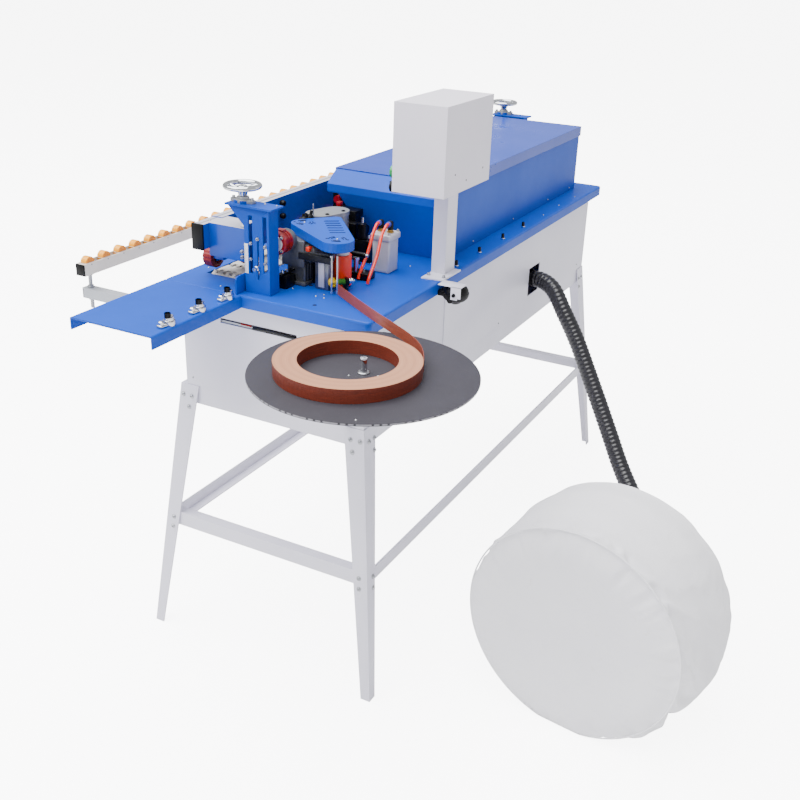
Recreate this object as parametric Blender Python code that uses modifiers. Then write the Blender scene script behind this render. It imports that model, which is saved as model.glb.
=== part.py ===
# Through-feed edge banding machine with a tape reel, roller rail and dust bag.
import bpy
import bmesh
import math
from mathutils import Matrix, Vector

# ---- driving dimensions, metres ----
ORIGIN_X = 0.5185           # stand frame to part frame
ORIGIN_Y = 0.0028
GAP = 0.0003

STAND_X = 1.400             # stand length along the feed
STAND_Y = 0.486             # stand depth
STAND_Z = 0.6447            # height of the stand under the cabinet
LEG_SPLAY_X = 0.071
LEG_SPLAY_Y = 0.068
LEG_TOP_W = 0.050
LEG_FOOT_W = 0.024
LEG_T = 0.003
RAIL_H = 0.045
BAR_TOP = 0.314
BAR_BOTTOM = 0.279

CABINET_Y = 0.470
CABINET_WALL = 0.002
TABLE_Z = 0.900
TABLE_T = 0.006
TABLE_FLANGE = 0.027
TABLE_X0, TABLE_X1 = -0.028, 1.425
TABLE_Y0, TABLE_Y1 = -0.025, 0.493
SLOT_X0, SLOT_X1 = 0.058, 1.342       # conveyor opening in the table
SLOT_Y0, SLOT_Y1 = 0.335, 0.443
INFEED_X0 = -0.313
INFEED_Y0, INFEED_Y1 = 0.2865, 0.493

COLUMN_Y0, COLUMN_Y1 = 0.232, 0.295
COLUMN_DEPTH = 0.034
COLUMN_TOP = 1.087
SCREW_X, SCREW_Y = 0.018, 0.308
COLUMN_SHIFT = 1.382          # infeed column to outfeed column
WHEEL_R = 0.0410
WHEEL_Z = 1.126

BEAM_Y0, BEAM_Y1 = 0.388, 0.415
BEAM_X0, BEAM_X1 = -0.016, 1.462
ROLLER_R = 0.025
ROLLER_Z = 0.940

CHAIN_PITCH = 0.050
CHAIN_X0, CHAIN_X1 = 0.090, 1.310
CHAIN_R = 0.0515
CHAIN_Z = 0.850

REEL_X, REEL_Y = -0.223, -0.123
REEL_R = 0.211
REEL_Z = 0.883
ROLL_X, ROLL_Y = -0.238, -0.099
ROLL_R, ROLL_BORE = 0.135, 0.0915
TAPE_W = 0.0265

HOOD_X0, HOOD_X1 = 0.425, 1.350
HOOD_Y0, HOOD_Y1 = 0.034, 0.332
HOOD_TOP = 1.084

BOX_X0, BOX_X1 = 0.195, 0.424
BOX_Y0, BOX_Y1 = -0.068, 0.054
BOX_Z0, BOX_Z1 = 1.110, 1.295
BOX_WALL = 0.0015

LINE_Y0, LINE_Y1 = 0.742, 0.768       # roller rail tube
LINE_X0, LINE_X1 = -0.010, 1.430
LINE_Z0, LINE_Z1 = 0.855, 0.883
WHEEL_PITCH = 0.0545
LINE_WHEEL_R = 0.0135
LINE_WHEEL_Z = 0.8835
LINE_WHEELS = 26
ARM_X0, ARM_X1 = 0.0170, 1.3800

HOSE_R = 0.0225
BAG_X, BAG_Y = 0.079, -0.471
BAG_R, BAG_L = 0.247, 0.300
BAG_TURN = math.radians(-8.0)


def clear_scene():
    for ob in list(bpy.data.objects):
        bpy.data.objects.remove(ob, do_unlink=True)
    for me in list(bpy.data.meshes):
        bpy.data.meshes.remove(me)


def make_collection(name, hidden=False):
    col = bpy.data.collections.new(name)
    bpy.context.scene.collection.children.link(col)
    col.hide_render = hidden
    return col


clear_scene()
MACHINE = make_collection("edge_banding_machine")
CUTTERS = make_collection("cutters")


def material(name, rgb, rough=0.4, metal=0.0):
    mat = bpy.data.materials.new(name)
    mat.use_nodes = True
    bsdf = mat.node_tree.nodes["Principled BSDF"]
    bsdf.inputs["Base Color"].default_value = (rgb[0], rgb[1], rgb[2], 1.0)
    bsdf.inputs["Roughness"].default_value = rough
    bsdf.inputs["Metallic"].default_value = metal
    mat.diffuse_color = (rgb[0], rgb[1], rgb[2], 1.0)
    return mat


WHITE = (0.82, 0.82, 0.86)
BLUE = (0.02, 0.16, 0.62)
CHROME = (0.75, 0.76, 0.78)
DARK = (0.05, 0.05, 0.06)


def from_bmesh(name, bm, collection=None):
    bmesh.ops.recalc_face_normals(bm, faces=bm.faces[:])
    me = bpy.data.meshes.new(name)
    bm.to_mesh(me)
    bm.free()
    ob = bpy.data.objects.new(name, me)
    (collection or CUTTERS).objects.link(ob)
    return ob


def box(name, x0, x1, y0, y1, z0, z1):
    bm = bmesh.new()
    bmesh.ops.create_cube(bm, size=1.0)
    size = Matrix.Diagonal((x1 - x0, y1 - y0, z1 - z0, 1.0))
    place = Matrix.Translation(((x0 + x1) / 2, (y0 + y1) / 2, (z0 + z1) / 2))
    bmesh.ops.transform(bm, matrix=place @ size, verts=bm.verts[:])
    return from_bmesh(name, bm)


def cylinder(name, centre, radius, length, axis="Z", segments=24, radius2=None):
    bm = bmesh.new()
    bmesh.ops.create_cone(bm, cap_ends=True, segments=segments, radius1=radius,
                          radius2=radius if radius2 is None else radius2, depth=length)
    turn = {"Z": Matrix.Identity(4), "X": Matrix.Rotation(math.pi / 2, 4, "Y"),
            "Y": Matrix.Rotation(-math.pi / 2, 4, "X")}[axis]
    bmesh.ops.transform(bm, matrix=Matrix.Translation(centre) @ turn, verts=bm.verts[:])
    return from_bmesh(name, bm)


def prism(name, points, low, high, axis="Z"):
    # a closed outline given in the two other axes, in X, Y, Z order
    def at(p, t):
        return {"Z": (p[0], p[1], t), "Y": (p[0], t, p[1]), "X": (t, p[0], p[1])}[axis]
    bm = bmesh.new()
    a = [bm.verts.new(at(p, low)) for p in points]
    b = [bm.verts.new(at(p, high)) for p in points]
    n = len(points)
    bm.faces.new(a)
    bm.faces.new(b)
    for i in range(n):
        bm.faces.new((a[i], a[(i + 1) % n], b[(i + 1) % n], b[i]))
    return from_bmesh(name, bm)


def tube_ring(name, rings, closed=False):
    # rings of points joined in order, capped at both ends unless closed
    bm = bmesh.new()
    rows = [[bm.verts.new(p) for p in ring] for ring in rings]
    n = len(rows[0])
    pairs = list(zip(rows, rows[1:])) + ([(rows[-1], rows[0])] if closed else [])
    for a, b in pairs:
        for i in range(n):
            bm.faces.new((a[i], a[(i + 1) % n], b[(i + 1) % n], b[i]))
    if not closed:
        bm.faces.new(rows[0])
        bm.faces.new(rows[-1])
    return from_bmesh(name, bm)


def lathe(name, profile, centre, axis="Z", segments=32):
    # profile is (radius, height) pairs, closed round when the radius never reaches zero
    rings = []
    for i in range(segments):
        a = 2 * math.pi * i / segments
        ring = []
        for r, h in profile:
            u, v = r * math.cos(a), r * math.sin(a)
            ring.append({"Z": (centre[0] + u, centre[1] + v, centre[2] + h),
                         "Y": (centre[0] + u, centre[1] + h, centre[2] + v),
                         "X": (centre[0] + h, centre[1] + u, centre[2] + v)}[axis])
        rings.append(ring)
    return tube_ring(name, rings, closed=True)


def boolean(target, tool, operation):
    tool.display_type = "WIRE"
    tool.hide_render = True
    mod = target.modifiers.new(operation.lower(), "BOOLEAN")
    mod.operation = operation
    mod.solver = "EXACT"
    mod.object = tool
    bpy.context.view_layer.update()
    graph = bpy.context.evaluated_depsgraph_get()
    result = bpy.data.meshes.new_from_object(target.evaluated_get(graph))
    target.modifiers.remove(mod)
    old = target.data
    target.data = result
    bpy.data.meshes.remove(old)
    bpy.data.objects.remove(tool, do_unlink=True)


def cut(target, *tools):
    for tool in tools:
        boolean(target, tool, "DIFFERENCE")
    return target


def join(target, *others):
    for other in others:
        boolean(target, other, "UNION")
    return target


def finish(ob, mat, smooth=None, bevel=None):
    if bevel:
        mod = ob.modifiers.new("edges", "BEVEL")
        mod.width = bevel
        mod.segments = 1
        mod.limit_method = "ANGLE"
        mod.angle_limit = math.radians(50)
        bpy.context.view_layer.update()
        graph = bpy.context.evaluated_depsgraph_get()
        result = bpy.data.meshes.new_from_object(ob.evaluated_get(graph))
        ob.modifiers.remove(mod)
        ob.data = result
    ob.data.materials.clear()
    ob.data.materials.append(mat)
    for col in list(ob.users_collection):
        col.objects.unlink(ob)
    MACHINE.objects.link(ob)
    return ob


# ---- stand ----

def leg_corner(z):
    k = 1.0 - z / STAND_Z
    return -LEG_SPLAY_X * k, -LEG_SPLAY_Y * k, LEG_TOP_W + (LEG_FOOT_W - LEG_TOP_W) * k


def leg_outline(z, at_far_x, at_far_y):
    x, y, w = leg_corner(z)
    pts = [(x, y), (x + w, y), (x + w, y + LEG_T), (x + LEG_T, y + LEG_T), (x + LEG_T, y + w), (x, y + w)]
    return [(STAND_X - px if at_far_x else px, STAND_Y - py if at_far_y else py, z) for px, py in pts]


def build_legs():
    white = material("leg_paint", WHITE, 0.35)
    names = {(0, 0): "leg_infeed_rear", (0, 1): "leg_infeed_front",
             (1, 0): "leg_outfeed_rear", (1, 1): "leg_outfeed_front"}
    for (fx, fy), name in names.items():
        ob = tube_ring(name, [leg_outline(0.0, fx, fy), leg_outline(STAND_Z, fx, fy)])
        finish(ob, white)


def rect_sweep(name, x0, x1, y0, y1, profile):
    # profile is (inset, z) pairs carried round a rectangle
    rings = []
    for sx, sy in ((0, 0), (1, 0), (1, 1), (0, 1)):
        ring = []
        for d, z in profile:
            ring.append((x1 - d if sx else x0 + d, y1 - d if sy else y0 + d, z))
        rings.append(ring)
    return tube_ring(name, rings, closed=True)


def build_top_frame():
    d = LEG_T + GAP
    z0, z1 = STAND_Z - RAIL_H, STAND_Z
    t = 0.003
    profile = [(0, z0), (0, z1), (0.036, z1), (0.036, z1 - t), (t, z1 - t), (t, z0)]
    ob = rect_sweep("top_frame", d, STAND_X - d, d, STAND_Y - d, profile)
    finish(ob, material("frame_paint", WHITE, 0.35))


def build_stretchers():
    paint = material("stretcher_paint", WHITE, 0.35)
    lx, ly, _ = leg_corner(BAR_TOP)
    x0, y0 = lx + LEG_T + GAP, ly + LEG_T + GAP
    x1, y1 = STAND_X - x0, STAND_Y - y0
    t, z0, z1 = 0.003, BAR_BOTTOM, BAR_TOP
    web = [(0, z0), (t, z0), (t, z1 - t), (0.026, z1 - t), (0.026, z1), (0, z1)]
    finish(prism("stretcher_infeed", [(x0 + a, z) for a, z in web], y0, y1, "Y"), paint)
    finish(prism("stretcher_outfeed", [(x1 - a, z) for a, z in web], y0, y1, "Y"), paint)
    low = [(0, z0), (0.026, z0), (0.026, z0 + t), (t, z0 + t), (t, z1 - 0.0035), (0, z1 - 0.0035)]
    a, b = x0 + t + GAP, x1 - t - GAP
    finish(prism("stretcher_rear", [(y0 + d, z) for d, z in low], a, b, "X"), paint)
    finish(prism("stretcher_front", [(y1 - d, z) for d, z in low], a, b, "X"), paint)


# ---- cabinet and tables ----

def build_cabinet():
    x0, x1, y0, y1 = 0.0015, 1.3985, 0.0020, CABINET_Y
    z0, z1, w = 0.6450, TABLE_Z - TABLE_T - GAP, CABINET_WALL
    ob = box("cabinet", x0, x1, y0, y1, z0, z1)
    cut(ob, box("inside", x0 + w, x1 - w, y0 + w, y1 - w, z0 + w, z1 + 0.01),
        box("front_slot", x0 - 0.01, x0 + 0.01, 0.168, 0.367, 0.8145, 0.8255),
        box("panel_window", 0.400, 1.040, y0 - 0.01, y0 + 0.01, 0.672, 0.858))
    for cx in (ARM_X0, ARM_X1):
        cut(ob, box("arm_hole", cx - 0.0130, cx + 0.0130, y1 - 0.01, y1 + 0.01, 0.7945, 0.8205))
    finish(ob, material("cabinet_paint", WHITE, 0.35))
    panel = box("side_panel", 0.374, 1.056, y0 - 0.0023, y0 - GAP, 0.655, 0.870)
    cut(panel, box("hose_window", 0.918, 0.996, -0.02, 0.02, 0.680, 0.760))
    finish(panel, material("panel_paint", WHITE, 0.35))


def rounded_rect(x0, x1, y0, y1, r, steps=4):
    pts = []
    for cx, cy, start in ((x1 - r, y1 - r, 0), (x0 + r, y1 - r, 90), (x0 + r, y0 + r, 180),
                          (x1 - r, y0 + r, 270)):
        for i in range(steps + 1):
            a = math.radians(start + 90.0 * i / steps)
            pts.append((cx + r * math.cos(a), cy + r * math.sin(a)))
    return pts


def layered(name, layers):
    # layers are (outline, z) with equal point counts, capped at both ends
    return tube_ring(name, [[(p[0], p[1], z) for p in outline] for outline, z in layers])


def build_table():
    z, f, r = TABLE_Z, TABLE_FLANGE, 0.004
    rr = lambda d, c: rounded_rect(TABLE_X0 + d, TABLE_X1 - d, TABLE_Y0 + d, TABLE_Y1 - d, c)
    ob = layered("table_top", [(rr(0, 0.010), z - f), (rr(0, 0.010), z - r), (rr(0.0012, 0.009), z - 0.0012),
                               (rr(r, 0.007), z)])
    inner = layered("under", [(rr(0.003, 0.007), z - f - 0.01), (rr(0.003, 0.007), z - TABLE_T)])
    cut(ob, inner, box("conveyor_opening", SLOT_X0, SLOT_X1, SLOT_Y0, SLOT_Y1, z - 0.05, z + 0.05))
    finish(ob, material("table_paint", BLUE, 0.25))


def build_infeed_table():
    z, f, t, r = TABLE_Z, TABLE_FLANGE, 0.004, 0.004
    y0, y1 = INFEED_Y0, INFEED_Y1
    shape = [(y0, z - f), (y0, z - r), (y0 + 0.0012, z - 0.0012), (y0 + r, z), (y1 - r, z),
             (y1 - 0.0012, z - 0.0012), (y1, z - r), (y1, z - f), (y1 - 0.003, z - f), (y1 - 0.003, z - t),
             (y0 + 0.003, z - t), (y0 + 0.003, z - f)]
    paint = material("infeed_paint", BLUE, 0.25)
    finish(prism("infeed_table", shape, INFEED_X0, TABLE_X0 - GAP, "X"), paint)


def build_guide_fence():
    y0 = COLUMN_Y1 + 0.0030
    shape = [(-0.0275, TABLE_Z + GAP), (0.052, TABLE_Z + GAP), (0.052, 0.938), (-0.0215, 0.938),
             (-0.0257, 0.9362), (-0.0275, 0.932)]
    finish(prism("guide_fence", shape, y0, y0 + 0.004, "Y"), material("fence_paint", BLUE, 0.25))


# ---- columns, handwheels and pressure beam ----

def column_body(name, dx):
    zb, zt = TABLE_Z + GAP, COLUMN_TOP
    y0, y1, t = COLUMN_Y0, COLUMN_Y1, 0.004
    face = [(y0, zb), (y1, zb), (y1, 1.043), (0.335, 1.083), (y0, 1.083)]
    ob = prism(name, face, dx, dx + t, "X")
    join(ob, box("web_a", dx + 0.002, dx + COLUMN_DEPTH, y0, y0 + t, zb, 1.084),
         box("web_b", dx + 0.002, dx + COLUMN_DEPTH, y1 - t, y1, zb, 1.043),
         box("foot", dx + 0.002, dx + COLUMN_DEPTH, y0 + 0.001, y1 - 0.001, zb, zb + 0.004),
         box("plate", dx - 0.006, dx + 0.040, 0.222, 0.338, 1.083, zt))
    slots = ((0.2740, 0.2835, 0.943, 1.067), (0.2585, 0.2625, 0.932, 1.023), (0.2380, 0.2475, 0.948, 1.068))
    for ya, yb, za, zc in slots:
        cut(ob, box("slot", dx - 0.01, dx + 0.010, ya, yb, za, zc))
    cx = dx + SCREW_X
    diamond = ((0.0295, 0.0), (0.010, 0.0155), (-0.010, 0.0155), (-0.0295, 0.0), (-0.010, -0.0155),
               (0.010, -0.0155))
    flange = [(cx + v, SCREW_Y + u) for u, v in diamond]
    join(ob, prism("bearing", flange, 1.085, 1.093, "Z"),
         cylinder("boss", (cx, SCREW_Y, 1.094), 0.0125, 0.010, "Z", 20))
    cut(ob, cylinder("bore", (cx, SCREW_Y, 1.09), 0.0066, 0.04, "Z", 20))
    return ob


def build_columns():
    paint = material("column_paint", BLUE, 0.25)
    finish(column_body("infeed_column", 0.0), paint)
    finish(column_body("outfeed_column", COLUMN_SHIFT), paint)


def build_handwheels():
    chrome = material("handwheel_chrome", CHROME, 0.15, 1.0)
    for name, cx in (("infeed_handwheel", SCREW_X), ("outfeed_handwheel", COLUMN_SHIFT + SCREW_X)):
        rim = []
        for i in range(8):
            a = 2 * math.pi * i / 8
            rim.append((WHEEL_R - 0.0048 + 0.0048 * math.cos(a), 0.0048 * math.sin(a)))
        ob = lathe(name, rim, (cx, SCREW_Y, WHEEL_Z), "Z", 32)
        for k in range(3):
            a = math.radians(90 + 120 * k)
            spoke = cylinder("spoke", (0, 0, 0), 0.0042, WHEEL_R - 0.008, "X", 8, 0.0034)
            place = (Matrix.Translation((cx, SCREW_Y, WHEEL_Z - 0.003)) @ Matrix.Rotation(a, 4, "Z")
                     @ Matrix.Translation(((WHEEL_R - 0.008) / 2 + 0.003, 0, 0)))
            spoke.data.transform(place)
            join(ob, spoke)
        join(ob, cylinder("hub", (cx, SCREW_Y, 1.1125), 0.0115, 0.024, "Z", 20, 0.0150),
             cylinder("screw", (cx, SCREW_Y, 1.040), 0.0060, 0.130, "Z", 20))
        finish(ob, chrome)


def build_beam():
    y0, y1 = BEAM_Y0, BEAM_Y1
    ob = box("pressure_beam", BEAM_X0, BEAM_X1, y0 + 0.0003, y1 - 0.0003, 0.980, 1.034)
    join(ob, box("deep", 0.0495, 1.3825, y0, y1, 0.940, 1.036),
         box("bracket_a", 0.0045, 0.0680, 0.2980, y0 + 0.002, 0.963, 1.0345),
         box("bracket_b", COLUMN_SHIFT + 0.0045, COLUMN_SHIFT + 0.0680, 0.2980, y0 + 0.002, 0.963, 1.0345))
    cut(ob, box("inside", 0.0525, 1.3795, y0 + 0.003, y1 - 0.003, 0.930, 1.033))
    for dx in (0.0, COLUMN_SHIFT):
        cut(ob, box("bracket_inside", dx + 0.0360, dx + 0.0650, 0.3010, y0 - 0.002, 0.950, 1.0315),
            cylinder("nut_bore", (dx + SCREW_X, SCREW_Y, 1.0), 0.0066, 0.12, "Z", 20))
    finish(ob, material("beam_paint", BLUE, 0.25))


def build_pressure_rollers():
    red = material("roller_rubber", (0.55, 0.02, 0.03), 0.5)
    spots = {"pressure_roller_1": (0.066, 0.4280), "pressure_roller_2": (0.126, 0.3750),
             "pressure_roller_3": (1.306, 0.3750), "pressure_roller_4": (1.366, 0.4280)}
    for name, (cx, cy) in spots.items():
        pts = []
        for i in range(36):
            a = 2 * math.pi * i / 36
            r = ROLLER_R if i % 3 else ROLLER_R - 0.0022
            pts.append((cx + r * math.cos(a), ROLLER_Z + r * math.sin(a)))
        roller = prism(name, pts, cy - 0.0115, cy + 0.0115, "Y")
        beam_face = BEAM_Y1 + GAP if cy > BEAM_Y1 else BEAM_Y0 - GAP
        far = cy + (0.0150 if cy > BEAM_Y1 else -0.0150)
        length = abs(far - beam_face)
        join(roller, cylinder("axle", (cx, (far + beam_face) / 2, ROLLER_Z), 0.0060, length, "Y", 16))
        finish(roller, red)


# ---- feed conveyor ----

def chain_station(s):
    # centre-line x and outward direction on the loop at arc length s
    run = CHAIN_X1 - CHAIN_X0
    arc = math.pi * (CHAIN_R - 0.007)
    s = s % (2 * run + 2 * arc)
    if s < run:
        return CHAIN_X0 + s, 0.0, 1.0
    if s < run + arc:
        a = math.pi / 2 - math.pi * (s - run) / arc
        return CHAIN_X1, math.cos(a), math.sin(a)
    if s < 2 * run + arc:
        return CHAIN_X1 - (s - run - arc), 0.0, -1.0
    a = -math.pi / 2 - math.pi * (s - 2 * run - arc) / arc
    return CHAIN_X0, math.cos(a), math.sin(a)


def build_chain():
    run = CHAIN_X1 - CHAIN_X0
    total = 2 * run + 2 * math.pi * (CHAIN_R - 0.007)
    pads = int(total / CHAIN_PITCH)
    step = total / pads
    rings = []
    for k in range(pads):
        for part, depth in ((0.02, 0.0), (0.88, 0.0), (0.90, 0.003), (0.99, 0.003)):
            x, nx, nz = chain_station((k + part) * step)
            ro, ri = CHAIN_R - depth, CHAIN_R - 0.014
            xo, zo, xi, zi = x + nx * ro, CHAIN_Z + nz * ro, x + nx * ri, CHAIN_Z + nz * ri
            rings.append([(xo, 0.3400, zo), (xo, 0.4380, zo), (xi, 0.4380, zi), (xi, 0.3400, zi)])
    ob = tube_ring("feed_chain", rings, closed=True)
    finish(ob, material("chain_pads", (0.80, 0.80, 0.79), 0.5))


def build_sprocket():
    pts = []
    for i in range(24):
        a = 2 * math.pi * i / 24
        r = 0.0325 if i % 2 else 0.0300
        pts.append((CHAIN_X0 + r * math.cos(a), CHAIN_Z + r * math.sin(a)))
    ob = prism("drive_sprocket", pts, 0.345, 0.433, "Y")
    join(ob, cylinder("shaft", (CHAIN_X0, 0.3925, CHAIN_Z), 0.010, 0.150, "Y", 16))
    finish(ob, material("sprocket_steel", (0.45, 0.46, 0.48), 0.35, 1.0))


# ---- gluing unit ----

def hull_of_circles(circles, steps=10):
    pts = []
    for cx, cy, r in circles:
        for i in range(steps * 4):
            a = 2 * math.pi * i / (steps * 4)
            pts.append((cx + r * math.cos(a), cy + r * math.sin(a)))
    pts = sorted(set((round(px, 7), round(py, 7)) for px, py in pts))
    def half(seq):
        out = []
        for p in seq:
            while len(out) > 1 and ((out[-1][0] - out[-2][0]) * (p[1] - out[-2][1])
                                    - (out[-1][1] - out[-2][1]) * (p[0] - out[-2][0])) <= 1e-10:
                out.pop()
            out.append(p)
        return out
    return half(pts)[:-1] + half(pts[::-1])[:-1]


GUARD = ((0.165, 0.252, 0.030), (0.092, 0.124, 0.036), (0.236, 0.214, 0.012))


def build_belt_guard():
    ob = prism("belt_guard", hull_of_circles(GUARD, 6), 1.000, 1.020, "Z")
    inner = [(x, y, r - 0.002) for x, y, r in GUARD]
    cut(ob, prism("inside", hull_of_circles(inner, 6), 0.990, 1.018, "Z"))
    for k in range(6):
        t = k / 5.0
        cx, cy = 0.214 - 0.078 * t, 0.211 - 0.060 * t
        slit = box("slit", -0.0165, 0.0165, -0.0012, 0.0012, -0.01, 0.01)
        slit.data.transform(Matrix.Translation((cx, cy, 1.02)) @ Matrix.Rotation(math.radians(-57), 4, "Z"))
        cut(ob, slit)
    join(ob, cylinder("post", (0.130, 0.235, 1.0089), 0.0060, 0.0202, "Z", 12))
    finish(ob, material("guard_paint", BLUE, 0.3))


def build_glue_unit():
    grey = material("gearbox_cast", (0.16, 0.17, 0.18), 0.45, 0.6)
    ob = box("gearbox", 0.096, 0.148, 0.212, 0.262, 0.945, 0.9985)
    join(ob, box("pedestal", 0.102, 0.142, 0.216, 0.256, TABLE_Z + GAP, 0.947),
         cylinder("cap", (0.122, 0.2120, 0.972), 0.021, 0.010, "Y", 20))
    arm = box("arm", -0.006, 0.006, -0.072, 0.0, -0.005, 0.005)
    arm.data.transform(Matrix.Translation((0.101, 0.214, 0.9745)) @ Matrix.Rotation(math.radians(6), 4, "Z"))
    join(ob, arm)
    finish(ob, grey)
    motor = cylinder("glue_motor", (0.0735, 0.2465, 1.0020), 0.0250, 0.0440, "X", 24)
    join(motor, cylinder("motor_ring", (0.0485, 0.2465, 1.0020), 0.0170, 0.008, "X", 20))
    finish(motor, material("motor_paint", (0.62, 0.02, 0.03), 0.3))
    roller = cylinder("press_roller", (0.144, 0.143, 0.9375), 0.0205, 0.0680, "Z", 28)
    join(roller, cylinder("hub", (0.144, 0.143, 0.9775), 0.0140, 0.0150, "Z", 20))
    finish(roller, material("roller_orange", (0.90, 0.11, 0.02), 0.4))
    guide = box("tape_guide_block", 0.0985, 0.1185, 0.1500, 0.1820, TABLE_Z + GAP, 0.9650)
    finish(guide, material("block_steel", (0.42, 0.43, 0.45), 0.35, 1.0))
    profile = [(0.0085, -0.005), (0.0085, 0.004), (0.0050, 0.005), (0.0050, 0.018), (0.0062, 0.019),
               (0.0062, 0.028), (0.0030, 0.030)]
    knob = lathe_solid("tape_guide_knob", profile, 20)
    turn = Vector((0.75, -0.66, 0.0)).to_track_quat("Z", "Y").to_matrix().to_4x4()
    knob.data.transform(Matrix.Translation((0.103, 0.134, 0.920)) @ turn)
    finish(knob, material("knob_yellow", (0.85, 0.70, 0.05), 0.4))


def lathe_solid(name, profile, segments):
    rings = [[(r * math.cos(2 * math.pi * i / segments), r * math.sin(2 * math.pi * i / segments), h)
              for i in range(segments)] for r, h in profile]
    return tube_ring(name, rings)


def build_glue_pot():
    cx, cy = 0.272, 0.255
    shape = hull_of_circles(((cx - 0.022, cy + 0.012, 0.030), (cx + 0.022, cy - 0.004, 0.030)), 6)
    pot = prism("glue_pot", shape, TABLE_Z + GAP, 1.0110, "Z")
    hole = hull_of_circles(((cx - 0.022, cy + 0.012, 0.025), (cx + 0.022, cy - 0.004, 0.025)), 6)
    cut(pot, prism("well", hole, 0.955, 1.03, "Z"))
    finish(pot, material("pot_steel", (0.50, 0.51, 0.53), 0.3, 1.0))
    lid_shape = hull_of_circles(((cx - 0.022, cy + 0.012, 0.032), (cx + 0.022, cy - 0.004, 0.032)), 6)
    lid = prism("pot_lid", lid_shape, 1.0113, 1.0210, "Z")
    join(lid, cylinder("handle", (cx - 0.048, cy + 0.012, 1.033), 0.0016, 0.028, "Z", 8))
    finish(lid, material("lid_steel", (0.62, 0.63, 0.65), 0.3, 1.0))


def build_air_cylinder():
    ob = box("air_cylinder", 0.272, 0.316, 0.098, 0.140, TABLE_Z + GAP, 0.9760)
    join(ob, box("head", 0.268, 0.320, 0.094, 0.144, 0.974, 0.990))
    for cy in (0.107, 0.131):
        join(ob, cylinder("port", (0.294, cy, 0.996), 0.0065, 0.014, "Z", 12))
    finish(ob, material("cylinder_white", (0.70, 0.70, 0.74), 0.35), bevel=0.0012)


def smooth_route(points, count):
    # Catmull-Rom through the route points, read at even steps
    p = [Vector(q) for q in points]
    p = [p[0] * 2 - p[1]] + p + [p[-1] * 2 - p[-2]]
    fine = []
    for i in range(1, len(p) - 2):
        for k in range(24):
            t = k / 24.0
            a, b, c, d = p[i - 1], p[i], p[i + 1], p[i + 2]
            fine.append(0.5 * ((2 * b) + (c - a) * t + (2 * a - 5 * b + 4 * c - d) * t * t
                               + (3 * b - a - 3 * c + d) * t ** 3))
    fine.append(p[-2])
    lengths = [0.0]
    for a, b in zip(fine, fine[1:]):
        lengths.append(lengths[-1] + (b - a).length)
    out, j = [], 0
    for k in range(count):
        s = lengths[-1] * k / (count - 1)
        while j < len(fine) - 2 and lengths[j + 1] < s:
            j += 1
        u = (s - lengths[j]) / max(1e-9, lengths[j + 1] - lengths[j])
        out.append(fine[j].lerp(fine[j + 1], min(1.0, u)))
    return out


def hose(name, points, radius, count, resolution):
    curve = bpy.data.curves.new(name, "CURVE")
    curve.dimensions = "3D"
    curve.bevel_depth = radius
    curve.bevel_resolution = resolution
    curve.use_fill_caps = True
    route = smooth_route(points, count)
    spline = curve.splines.new("POLY")
    spline.points.add(len(route) - 1)
    for point, co in zip(spline.points, route):
        point.co = (co.x, co.y, co.z, 1.0)
    ob = bpy.data.objects.new(name, curve)
    CUTTERS.objects.link(ob)
    bpy.context.view_layer.update()
    graph = bpy.context.evaluated_depsgraph_get()
    me = bpy.data.meshes.new_from_object(ob.evaluated_get(graph))
    bpy.data.objects.remove(ob, do_unlink=True)
    bm = bmesh.new()
    bm.from_mesh(me)
    bmesh.ops.remove_doubles(bm, verts=bm.verts[:], dist=0.00001)
    bm.to_mesh(me)
    bm.free()
    tube = bpy.data.objects.new(name, me)
    CUTTERS.objects.link(tube)
    return tube


def build_air_hoses():
    red = material("air_hose_red", (0.80, 0.06, 0.02), 0.35)
    top = 1.0034
    for name, cy, end in (("air_hose_a", 0.131, (0.196, 0.132)), ("air_hose_b", 0.107, (0.178, 0.098))):
        route = [(0.294, cy, top), (0.292, cy, top + 0.010), (0.280, cy + 0.001, top + 0.010),
                 (0.250, cy + 0.002, 0.976), (0.215, (cy + end[1]) / 2, 0.935), (end[0], end[1], 0.9035)]
        finish(hose(name, route, 0.0030, 30, 2), red)


# ---- trimming unit under the hood ----

def build_trim_unit():
    ob = box("trim_unit", 0.540, 1.240, 0.100, 0.300, TABLE_Z + GAP, 0.9120)
    for cx, cy in ((0.620, 0.245), (0.760, 0.235), (0.930, 0.240), (1.110, 0.240)):
        join(ob, box("slide", cx - 0.035, cx + 0.035, 0.150, 0.285, 0.910, 0.935),
             cylinder("motor", (cx, cy, 0.990), 0.034, 0.120, "Z", 24))
    finish(ob, material("trim_cast", (0.10, 0.10, 0.11), 0.45, 0.5))


# ---- tape reel ----

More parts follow.
